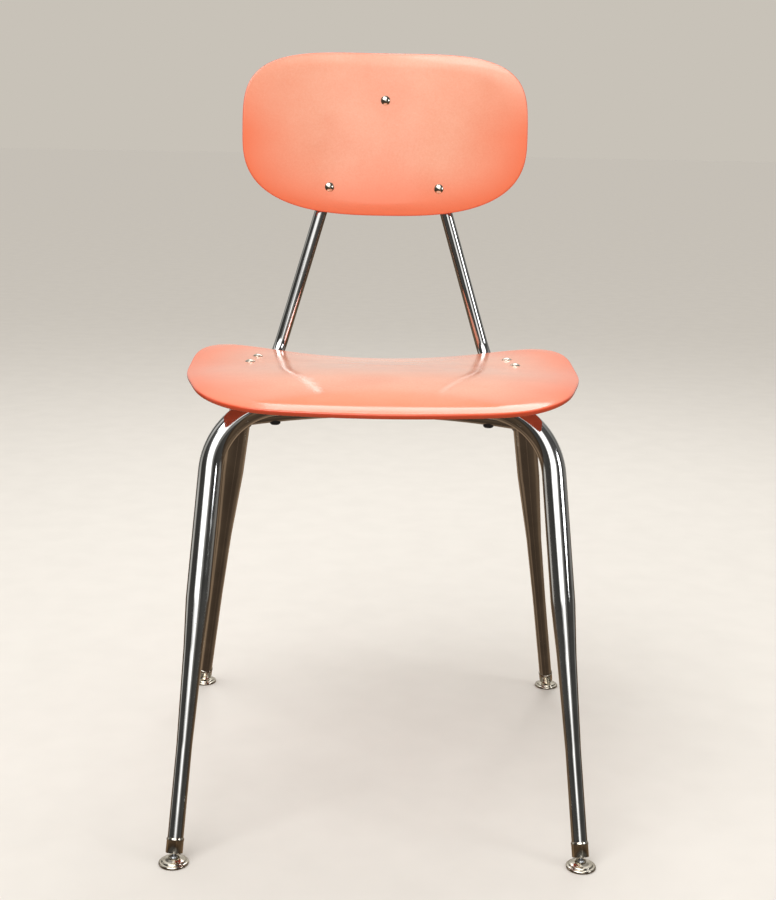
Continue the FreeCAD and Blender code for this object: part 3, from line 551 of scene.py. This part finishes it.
run_read = add_node(tube_tree, "GeometryNodeInputNamedAttribute", {"Name": "run"},
                    data_type="FLOAT")
spot_read = add_node(tube_tree, "GeometryNodeInputNamedAttribute", {"Name": "ring_spot"},
                     data_type="FLOAT_VECTOR")
wide = add_node(tube_tree, "ShaderNodeVectorMath",
                {0: spot_read.outputs["Attribute"], "Scale": 12.0 * MM}, operation="SCALE")
split = add_node(tube_tree, "ShaderNodeSeparateXYZ", {0: wide.outputs["Vector"]})
join = add_node(tube_tree, "ShaderNodeCombineXYZ",
                {0: split.outputs[0], 1: split.outputs[1], 2: run_read.outputs["Attribute"]})
stored = add_node(tube_tree, "GeometryNodeStoreNamedAttribute",
                  {"Geometry": sweep.outputs["Mesh"], "Name": "tube_place",
                   "Value": join.outputs[0]}, domain="POINT", data_type="FLOAT_VECTOR")
shade = add_node(tube_tree, "GeometryNodeSetShadeSmooth", {"Geometry": stored.outputs["Geometry"]})
real = add_node(tube_tree, "GeometryNodeRealizeInstances", {"Geometry": shade.outputs["Geometry"]})
paint = add_node(tube_tree, "GeometryNodeSetMaterial",
                 {"Geometry": real.outputs["Geometry"], "Material": given.outputs["Finish"]})
add_node(tube_tree, "NodeGroupOutput", {"Tube": paint.outputs["Geometry"]})


def bake(name, source, tree, values):
    """Run a tree on an object and keep the result as a plain mesh."""
    worker = source.modifiers.new("make", "NODES")
    worker.node_group = tree
    for identifier, value in values.items():
        worker[identifier] = value
    bpy.context.view_layer.update()
    depsgraph = bpy.context.evaluated_depsgraph_get()
    mesh = bpy.data.meshes.new_from_object(source.evaluated_get(depsgraph))
    mesh.name = name
    source.modifiers.remove(worker)
    data = source.data
    bpy.data.objects.remove(source)
    if data.users == 0 and isinstance(data, bpy.types.Curve):
        bpy.data.curves.remove(data)
    made = bpy.data.objects.new(name, mesh)
    bpy.context.scene.collection.objects.link(made)
    return made


def make_tube(name, points, radii, closed=False, sides=SIDES):
    """Points in millimetres become a curve whose point radius is the tube's."""
    curve = bpy.data.curves.new(name + "_line", "CURVE")
    curve.dimensions = "3D"
    piece = curve.splines.new("POLY")
    piece.points.add(len(points) - 1)
    for spot, at, radius in zip(piece.points, points, radii):
        spot.co = (*(np.asarray(at) * MM), 1.0)
        spot.radius = radius * MM
    piece.use_cyclic_u = closed
    source = bpy.data.objects.new(name + "_line", curve)
    bpy.context.scene.collection.objects.link(source)
    return bake(name, source, tube_tree, {TUBE_SIDES: sides, TUBE_FINISH: chrome})


print("tube tree nodes", len(tube_tree.nodes))

# %% [markdown]
# The front legs are one tube bent into an upside-down U that leans with the legs, swaged at each
# tip.  Both legs splay a few degrees, so the bends turn a little less than a right angle.

# %% Front leg frame
low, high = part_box("front_leg_frame")
BAR_Y, BAR_Z = high.y / MM - TUBE, high.z / MM - TUBE
foot = PIVOT_MM["front_right"]
drop = math.hypot(foot[1] - BAR_Y, foot[2] - BAR_Z)
SPLAY = math.radians(3.5)
corner_x = foot[0] - drop * math.tan(SPLAY)
corner = np.array([corner_x, BAR_Y, BAR_Z])
up_leg = (corner - foot) / np.linalg.norm(corner - foot)
tip = foot + up_leg * LEG_START
MIRROR = np.array([-1.0, 1.0, 1.0])
legs = bent_line([tip, corner, corner * MIRROR, tip * MIRROR], FRONT_BEND)
reach = np.minimum(*[np.linalg.norm(legs - end, axis=1) for end in (foot, foot * MIRROR)])
front = make_tube("front_legs", legs, swage(reach, *FRONT_SWAGE))
print("front frame crossbar at", round(BAR_Y, 1), round(BAR_Z, 1), "leg", round(drop, 1), "mm")

# %% [markdown]
# The back bow is a thinner tube: two rails run back under the seat, turn up as posts that lean
# inwards and back, and close in an arch behind the backrest.

# %% Back bow
POST_BASE, POST_X, POST_STATION = 483.0, 118.3, 461.0
POST_SPLAY, POST_LEAN = math.radians(16.3), math.radians(9.5)
ARCH, RAIL = 752.6, 435.0
RAIL_SPLAY, RAIL_RISE = math.radians(6.3), math.radians(1.9)


def post_at(height):
    above = height - POST_BASE
    inward = above / math.cos(POST_LEAN) * math.tan(POST_SPLAY)
    return np.array([POST_X - inward, FRONT_Y + POST_STATION + above * math.tan(POST_LEAN), height])


def rail_at(y):
    heel = post_at(RAIL)
    ahead = heel[1] - y
    return np.array([heel[0] + ahead * math.tan(RAIL_SPLAY), y, RAIL + ahead * math.tan(RAIL_RISE)])


half = [rail_at(BAR_Y), post_at(RAIL), post_at(ARCH)]
bow_line = bent_line(half + [point * MIRROR for point in half[::-1]], BOW_BEND)
bow = make_tube("back_bow_tube", bow_line, [BOW] * len(bow_line))
low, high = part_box("back_bow")
print("bow top in CAD", round(high.z / MM, 2), "here",
      round(max(v.co.z for v in bow.data.vertices) / MM, 2))

# %% [markdown]
# Rear legs are swaged tubes cut off under the seat rails, and an arched brace ties them together.
# A tube that ends inside another needs no cope here, because the weld covers the joint.

# %% Rear legs and brace
TOP_Y = FRONT_Y + 260.0
rear_tubes = []
for name, side in (("left", -1), ("right", 1)):
    foot = PIVOT_MM["rear_" + name]
    head = rail_at(TOP_Y) * np.array([side, 1, 1])
    up_leg = (head - foot) / np.linalg.norm(head - foot)
    stops = np.arange(LEG_START, np.linalg.norm(head - foot) - 2.0, 4.0)
    line = np.array([foot + up_leg * stop for stop in stops])
    radii = swage(np.linalg.norm(line - foot, axis=1), *REAR_SWAGE)
    rear_tubes.append(make_tube("rear_leg_tube_" + name, line, radii))
BRACE_Y, BRACE_Z, ARCH_RADIUS = FRONT_Y + 281.5, 409.0, 980.0
BRACE_HALF, BRACE_STEPS = 151.0, 80
across = np.linspace(-BRACE_HALF, BRACE_HALF, BRACE_STEPS)
brace_line = np.stack([across, np.full(BRACE_STEPS, BRACE_Y),
                       BRACE_Z - ARCH_RADIUS + np.sqrt(ARCH_RADIUS ** 2 - across ** 2)], axis=1)
brace = make_tube("brace_tube", brace_line, [BOW] * BRACE_STEPS)
print("brace ends", [round(v, 1) for v in brace_line[0]])

# %% [markdown]
# Fillet welds.  A bead of molten steel is laid round each joint, and plating leaves it rippled,
# about one ripple for every 2 to 3 mm.  The bead follows the line where one tube's wall meets the
# other's, so it is swept along that line by the same tree with a radius that pulses.

# %% Weld beads


def joint_loop(start, along, radius, other, other_along, other_radius, steps=160):
    """Where a round tube's wall first meets another's, going forwards from its start."""
    along, other_along = along / np.linalg.norm(along), other_along / np.linalg.norm(other_along)
    side = np.cross(along, other_along)
    side /= np.linalg.norm(side)
    up = np.cross(side, along)
    loop = []
    for turn in np.linspace(0, 2 * math.pi, steps, endpoint=False):
        origin = start + (side * math.cos(turn) + up * math.sin(turn)) * radius
        gap = origin - other
        gap = gap - other_along * (gap @ other_along)
        run = along - other_along * (along @ other_along)
        a, b, c = run @ run, 2 * gap @ run, gap @ gap - other_radius ** 2
        inside = max(0.0, b * b - 4 * a * c)
        loop.append(origin + along * (-b - math.sqrt(inside)) / (2 * a))
    return np.array(loop)


BEAD, BEAD_SIDES, RIPPLES, RIPPLE_DEPTH = 1.7, 14, 26, 0.16
beads = []
for name, side in (("left", -1), ("right", 1)):
    flip = np.array([side, 1, 1])
    rail_start, rail_end = rail_at(BAR_Y + 60) * flip, rail_at(BAR_Y) * flip
    bar = np.array([0, BAR_Y, BAR_Z])
    foot, head = PIVOT_MM["rear_" + name], rail_at(TOP_Y) * flip
    rail_run = rail_at(TOP_Y - 50) * flip - head
    brace_end = np.array([side * 100.0, BRACE_Y, BRACE_Z - 5.1])
    brace_run = np.array([side * 51.0, 0.0, -6.7])
    for joint, loop in (
            ("rail", joint_loop(rail_start, rail_end - rail_start, BOW, bar,
                                np.array([1.0, 0, 0]), TUBE)),
            ("leg", joint_loop(foot + (head - foot) * 0.8, head - foot, TUBE, head,
                               rail_run, BOW)),
            ("brace", joint_loop(brace_end, brace_run, BOW, foot, head - foot, TUBE))):
        turns = np.linspace(0, 2 * math.pi * RIPPLES, len(loop))
        beads.append(make_tube("weld_%s_%s" % (joint, name), loop,
                               BEAD * (1 + RIPPLE_DEPTH * np.sin(turns)),
                               closed=True, sides=BEAD_SIDES))
print("weld beads", [bead.name for bead in beads])

# %% Put the frame's tubes on their body
for piece, nodes in ((front, ["front_leg_frame"]), (bow, ["back_bow"]), (brace, ["rear_brace"]),
                     (rear_tubes[0], ["rear_leg_left"]), (rear_tubes[1], ["rear_leg_right"])):
    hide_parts(*nodes)
    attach(piece, "frame")
for bead in beads:
    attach(bead, "frame")
print("tube triangles", sum(len(o.data.loop_triangles) or len(o.data.polygons) * 2
                            for o in [front, bow, brace, *rear_tubes]))

# %% [markdown]
# Rivets and screws repeat, so a turned head is modelled once and a Geometry Nodes tree puts a copy
# on each fastener's axis.  The axes are read from the CAD solids: the long way through each one.

# %% Fastener axes and the turned head


def solids_of(node):
    """The vertices of each separate solid in a CAD node, from a merged copy of its triangles."""
    work = bmesh.new()
    work.from_mesh(frame["nodes"][node].data)
    bmesh.ops.remove_doubles(work, verts=work.verts, dist=0.01 * MM)
    seen, groups = set(), []
    for start in work.verts:
        if start.index in seen:
            continue
        stack, group = [start], []
        seen.add(start.index)
        while stack:
            vert = stack.pop()
            group.append(tuple(vert.co))
            for edge in vert.link_edges:
                other = edge.other_vert(vert)
                if other.index not in seen:
                    seen.add(other.index)
                    stack.append(other)
        groups.append(np.array(group))
    work.free()
    return groups


def head_axes(node, towards, head_height):
    """(foot of the dome, direction) of every fastener in a node."""
    axes = []
    for points in solids_of(node):
        middle = points.mean(axis=0)
        direction = np.linalg.svd(points - middle, full_matrices=False)[2][0]
        direction *= math.copysign(1.0, direction @ np.array(towards, float))
        apex = (points @ direction).max()
        base = middle + direction * (apex - head_height * MM - middle @ direction)
        axes.append((base, direction))
    return axes


def turned_mesh(name, profile, material, sides=48):
    """Rings of (radius, height) in millimetres.  A radius of 0 at both ends is a closed pole; with
    no pole the last ring joins back to the first."""
    points, faces = [], []
    rows = []
    for radius, height in profile:
        if radius == 0:
            rows.append([len(points)])
            points.append((0, 0, height * MM))
            continue
        rows.append(list(range(len(points), len(points) + sides)))
        for k in range(sides):
            turn = 2 * math.pi * k / sides
            points.append((radius * math.cos(turn) * MM, radius * math.sin(turn) * MM, height * MM))
    if len(rows[0]) > 1:
        rows.append(rows[0])
    for lower, upper in zip(rows, rows[1:]):
        for k in range(sides):
            n = (k + 1) % sides
            a, b = lower[k % len(lower)], lower[n % len(lower)]
            c, d = upper[n % len(upper)], upper[k % len(upper)]
            faces.append(tuple(dict.fromkeys((a, b, c, d))))
    return mesh_object(name, points, faces, material)


def arc(centre, radius, first, last, steps):
    """Points of a profile round a corner, in degrees."""
    turns = np.radians(np.linspace(first, last, steps))
    return [(centre[0] + radius * math.cos(t), centre[1] + radius * math.sin(t)) for t in turns]


nickel = small["bright_nickel_plate"]
HEAD_RADIUS, HEAD_HEIGHT = 6.0, 2.6
DOME = (HEAD_RADIUS ** 2 + HEAD_HEIGHT ** 2) / (2 * HEAD_HEIGHT)
edge = math.degrees(math.asin(HEAD_RADIUS / DOME))
dome = arc((0, HEAD_HEIGHT - DOME), DOME, 90 - edge, 90, 14)
HEAD = [(0, -0.2), (5.6, -0.2), (HEAD_RADIUS, 0.0)] + dome[1:-1] + [(0, HEAD_HEIGHT)]
seat_axes = head_axes("seat_rivets", (0, 0, 1), HEAD_HEIGHT)
back_axes = head_axes("back_screws", (0, -1, 0), HEAD_HEIGHT)
print("rivets", [[round(v / MM, 1) for v in base] for base, _ in seat_axes])
print("screws", [[round(v / MM, 1) for v in base] for base, _ in back_axes])

# %% Fastener tree
pin_tree = bpy.data.node_groups.new("heads_on_axes", "GeometryNodeTree")
group_input(pin_tree, "Axes", "NodeSocketGeometry", None)
PIN_HEAD = group_input(pin_tree, "Head", "NodeSocketObject", None)
PIN_FINISH = group_input(pin_tree, "Finish", "NodeSocketMaterial", None)
pin_tree.interface.new_socket("Heads", in_out="OUTPUT", socket_type="NodeSocketGeometry")
given = add_node(pin_tree, "NodeGroupInput")
head = add_node(pin_tree, "GeometryNodeObjectInfo", {"Object": given.outputs["Head"]})
aim = add_node(pin_tree, "GeometryNodeInputNamedAttribute", {"Name": "aim"},
               data_type="FLOAT_VECTOR")
turn = add_node(pin_tree, "FunctionNodeAlignRotationToVector",
                {"Vector": aim.outputs["Attribute"]}, axis="Z")
placed = add_node(pin_tree, "GeometryNodeInstanceOnPoints",
                  {"Points": given.outputs["Axes"], "Instance": head.outputs["Geometry"],
                   "Rotation": turn.outputs["Rotation"]})
real = add_node(pin_tree, "GeometryNodeRealizeInstances",
                {"Geometry": placed.outputs["Instances"]})
paint = add_node(pin_tree, "GeometryNodeSetMaterial",
                 {"Geometry": real.outputs["Geometry"], "Material": given.outputs["Finish"]})
add_node(pin_tree, "NodeGroupOutput", {"Heads": paint.outputs["Geometry"]})


def place_heads(name, master, axes):
    mesh = bpy.data.meshes.new(name + "_axes")
    mesh.from_pydata([tuple(base) for base, _ in axes], [], [])
    mesh.attributes.new("aim", "FLOAT_VECTOR", "POINT").data.foreach_set(
        "vector", [v for _, direction in axes for v in direction])
    source = bpy.data.objects.new(name + "_axes", mesh)
    bpy.context.scene.collection.objects.link(source)
    made = bake(name, source, pin_tree, {PIN_HEAD: master, PIN_FINISH: nickel})
    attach(made, "frame")
    return made


head_master = turned_mesh("dome_head", HEAD, nickel)
rivet_heads = place_heads("rivet_heads", head_master, seat_axes)
screw_heads = place_heads("screw_heads", head_master, back_axes)
bpy.data.objects.remove(head_master)
print("head faces", len(rivet_heads.data.polygons), len(screw_heads.data.polygons))

# %% [markdown]
# Each glide is a nickel ferrule pressed on the leg tip and a stamped base that tilts on a ball.
# Both are turned shapes.  The rolled edges catch the light as thin bright rings, so the profiles
# here have more steps than the eye needs to see a circle, and real fillets in place of corners.

# %% Glides


def put_turned(piece, spot, direction):
    """Move a turned mesh so that its local Z lies along a direction."""
    turn = Vector((0, 0, 1)).rotation_difference(Vector(direction)).to_matrix().to_4x4()
    piece.data.transform(Matrix.Translation(Vector(spot) * MM) @ turn)


BALL_HEIGHT, SOCKET, LIP_ANGLE = 5.6, 4.6, 20.4
FERRULE = ([(2.3, 5.2), (7.9, 5.2)] + arc((7.9, 5.8), 0.6, -80, 0, 6)
           + [(8.5, 17.4), (8.8, 17.8), (8.8, 18.9), (8.5, 19.3), (8.5, 19.9), (8.35, 20.2),
              (8.0, 20.2), (8.0, 6.4), (2.3, 6.4)])
BASE = ([(0, 0), (13.0, 0)] + arc((13.5, 1.5), 1.5, -75, 90, 10)
        + [(13.1, 3.1), (12.5, 3.2)] + arc((10.6, 3.2), 1.7, 0, 76, 8)
        + [(9.6, 5.1), (8.2, 5.7), (6.8, 6.4), (5.8, 6.9), (5.0, 7.2)]
        + arc((0, BALL_HEIGHT), SOCKET, LIP_ANGLE, -84, 13) + [(0, BALL_HEIGHT - SOCKET)])
for place_name, spot in PIVOT_MM.items():
    leg_top = corner if place_name.startswith("front") else rail_at(TOP_Y)
    top = leg_top * np.array([math.copysign(1, spot[0]), 1, 1])
    direction = (top - spot) / np.linalg.norm(top - spot)
    cup = turned_mesh("ferrule_cup_" + place_name, FERRULE, nickel, 56)
    put_turned(cup, spot, direction)
    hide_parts("ferrule_" + place_name)
    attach(cup, "frame")
    foot = turned_mesh("glide_foot_" + place_name, BASE, nickel, 64)
    put_turned(foot, (spot[0], spot[1], 0.0), (0, 0, 1))
    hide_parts("glide_base_" + place_name)
    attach(foot, "glide_" + place_name)
print("glides at", sorted(PIVOT_MM))

# %% [markdown]
# The rest keeps its CAD shape: shanks and flares, cap nuts, plugs, stems, liners, saddle washers
# and bumpers are plain turned or cut shapes already, and only need the finish they really have.

# %% Finishes for the CAD pieces that stay
KEPT = [("bright_nickel_plate", ["seat_rivets", "back_screws", "back_nuts"]),
        ("natural_nylon", ["seat_saddle_washers", "back_saddle_washers"]),
        ("bumper_rubber", ["stacking_bumpers"])]
for place_name in PIVOTS:
    KEPT += [("natural_nylon", ["leg_plug_" + place_name, "glide_liner_" + place_name]),
             ("zinc_plated_steel", ["glide_stem_" + place_name])]
for finish, nodes in KEPT:
    for node in nodes:
        slots = frame["nodes"][node].material_slots
        for slot in slots:
            slot.material = small[finish]
        if not slots:
            frame["nodes"][node].data.materials.append(small[finish])
print("kept CAD pieces", sum(len(nodes) for _, nodes in KEPT))

# %% [markdown]
# The stage: a plain pale floor, a large soft light overhead and to the left, a weaker one at the
# right, one high up behind, and a sky that is pale to the camera.  Chrome only looks like chrome
# when it has dark things to mirror, so reflected rays see a dim room instead of the floor.  Round
# the horizon it has dark walls with a few bright windows; in front there is a doorway, and higher
# up a skylight.

# %% Floor, light and sky
bpy.ops.mesh.primitive_plane_add(size=120)
floor = bpy.context.object
floor.name = "floor"
paper, tree, bsdf = shader_start("pale_paper_floor")
place = add_node(tree, "ShaderNodeTexCoord").outputs["Object"]
fibre = add_node(tree, "ShaderNodeTexNoise", {"Vector": place, "Scale": per_mm(60.0)})
color = set_ramp(add_node(tree, "ShaderNodeValToRGB", {"Fac": fibre.outputs["Fac"]}),
                 [(0.3, linear("#DCD8D2")), (0.7, linear("#DFDBD5"))])
tree.links.new(color.outputs["Color"], bsdf.inputs["Base Color"])
bsdf.inputs["Roughness"].default_value = 0.7
bsdf.inputs["Specular IOR Level"].default_value = 0.0
floor.data.materials.append(paper)
floor.visible_glossy = False

LIGHTS = (
    ("overhead", (-0.7, -0.9, 2.5), 1.6, 30.0),
    ("right_fill", (2.1, -1.0, 1.3), 0.7, 8.0),
    ("rear_top", (0.2, 1.5, 2.2), 1.2, 18.0),
)
for name, spot, width, power in LIGHTS:
    lamp = bpy.data.lights.new(name, "AREA")
    lamp.shape, lamp.size, lamp.energy = "SQUARE", width, power
    holder = bpy.data.objects.new(name, lamp)
    holder.location = spot
    holder.rotation_euler = (Vector((0, 0, 0.5)) - Vector(spot)).to_track_quat("-Z", "Y").to_euler()
    bpy.context.scene.collection.objects.link(holder)

world = bpy.data.worlds.new("studio")
bpy.context.scene.world = world
world.use_nodes = True
tree = world.node_tree
out = tree.nodes["World Output"]
pale = tree.nodes["Background"]
pale.inputs["Color"].default_value = linear("#E6E3DE")
pale.inputs["Strength"].default_value = 0.98
way = add_node(tree, "ShaderNodeTexCoord").outputs["Generated"]
axis = add_node(tree, "ShaderNodeSeparateXYZ", {0: way})
height = add_node(tree, "ShaderNodeMapRange",
                  {"Value": axis.outputs["Z"], "From Min": -1.0, "From Max": 1.0})
ground = set_ramp(add_node(tree, "ShaderNodeValToRGB", {"Fac": height.outputs["Result"]}),
                  [(0.05, linear("#6E5B49")), (0.30, linear("#8B745C")), (0.42, linear("#4F4032"))])
wall = set_ramp(add_node(tree, "ShaderNodeValToRGB", {"Fac": height.outputs["Result"]}),
                [(0.42, linear("#D2CEC6")), (0.66, linear("#A9A69F")), (0.90, linear("#EFEDE8"))])
turned_by = add_node(tree, "ShaderNodeMath", {0: axis.outputs["X"], 1: axis.outputs["Y"]},
                     operation="ARCTAN2")
windows = set_ramp(
    add_node(tree, "ShaderNodeValToRGB",
             {"Fac": add_node(tree, "ShaderNodeMapRange",
                              {"Value": turned_by.outputs[0], "From Min": -math.pi,
                               "From Max": math.pi}).outputs["Result"]}),
    [(0.00, grey(0.09)), (0.26, grey(0.09)), (0.28, grey(0.75)), (0.33, grey(0.75)),
     (0.35, grey(0.16)), (0.39, grey(0.16)), (0.41, grey(0.90)), (0.60, grey(0.90)),
     (0.62, grey(0.35)), (0.72, grey(0.30)), (0.74, grey(0.09)), (0.915, grey(0.09)),
     (0.93, grey(0.38)), (0.945, grey(0.38)), (0.96, grey(0.09)), (1.00, grey(0.09))])
dim = add_node(tree, "ShaderNodeMix", {0: 1.0, 6: wall.outputs["Color"],
                                       7: windows.outputs["Color"]},
               data_type="RGBA", blend_type="MULTIPLY")
facing = add_node(tree, "ShaderNodeVectorMath", {0: way, 1: (0.05, -0.968, 0.245)},
                  operation="DOT_PRODUCT")
doorway = add_node(tree, "ShaderNodeMapRange",
                   {"Value": facing.outputs["Value"], "From Min": 0.972, "From Max": 0.988})
lit = add_node(tree, "ShaderNodeMix", {0: doorway.outputs["Result"], 6: dim.outputs[2],
                                       7: linear("#F2F0EC")}, data_type="RGBA")
overhead = add_node(tree, "ShaderNodeVectorMath", {0: way, 1: (-0.15, -0.68, 0.72)},
                    operation="DOT_PRODUCT")
skylight = add_node(tree, "ShaderNodeMapRange",
                    {"Value": overhead.outputs["Value"], "From Min": 0.84, "From Max": 0.93})
lit = add_node(tree, "ShaderNodeMix", {0: skylight.outputs["Result"], 6: lit.outputs[2],
                                       7: linear("#F2F0EC")}, data_type="RGBA")
boards = add_node(tree, "ShaderNodeMix", {0: 0.75, 6: ground.outputs["Color"],
                                          7: windows.outputs["Color"]},
                  data_type="RGBA", blend_type="MULTIPLY")
above = add_node(tree, "ShaderNodeMapRange",
                 {"Value": height.outputs["Result"], "From Min": 0.41, "From Max": 0.45})
seen = add_node(tree, "ShaderNodeMix", {0: above.outputs["Result"], 6: boards.outputs[2],
                                        7: lit.outputs[2]}, data_type="RGBA")
gain = add_node(tree, "ShaderNodeMapRange",
                {"Value": skylight.outputs["Result"], "To Min": 1.35, "To Max": 3.2})
mirrored = add_node(tree, "ShaderNodeBackground", {"Color": seen.outputs[2]})
tree.links.new(gain.outputs["Result"], mirrored.inputs["Strength"])
rays = add_node(tree, "ShaderNodeLightPath")
choose = add_node(tree, "ShaderNodeMixShader",
                  {0: rays.outputs["Is Glossy Ray"], 1: pale.outputs[0], 2: mirrored.outputs[0]})
backdrop = add_node(tree, "ShaderNodeBackground", {"Color": linear("#C8C2B8"), "Strength": 1.0})
choose = add_node(tree, "ShaderNodeMixShader",
                  {0: rays.outputs["Is Camera Ray"], 1: choose.outputs[0],
                   2: backdrop.outputs[0]})
tree.links.new(choose.outputs[0], out.inputs["Surface"])
print("lights", [name for name, *_ in LIGHTS])

# %% [markdown]
# The camera is level with the middle of the backrest and a little left of centre, and looks down
# by about 13 degrees.  The frame is upright, and it is rolled by about a degree.

# %% Camera
camera_data = bpy.data.cameras.new("camera")
SENSOR = 36.0
camera_data.lens = SENSOR * 14 / 9
camera_data.sensor_width = SENSOR
camera = bpy.data.objects.new("camera", camera_data)
bpy.context.scene.collection.objects.link(camera)
PITCH, YAW, ROLL = math.radians(12.56), math.radians(0.95), math.radians(1.05)
camera.location = (-0.0184, FRONT_Y * MM - 1.276, 0.710)
turn = (Matrix.Rotation(-YAW, 4, "Z") @ Matrix.Rotation(math.pi / 2 - PITCH, 4, "X")
        @ Matrix.Rotation(ROLL, 4, "Z"))
camera.rotation_euler = turn.to_euler()
bpy.context.scene.camera = camera
bpy.context.scene.view_settings.view_transform = "Standard"
print("camera", [round(v, 3) for v in camera.location], "lens", round(camera_data.lens, 1))
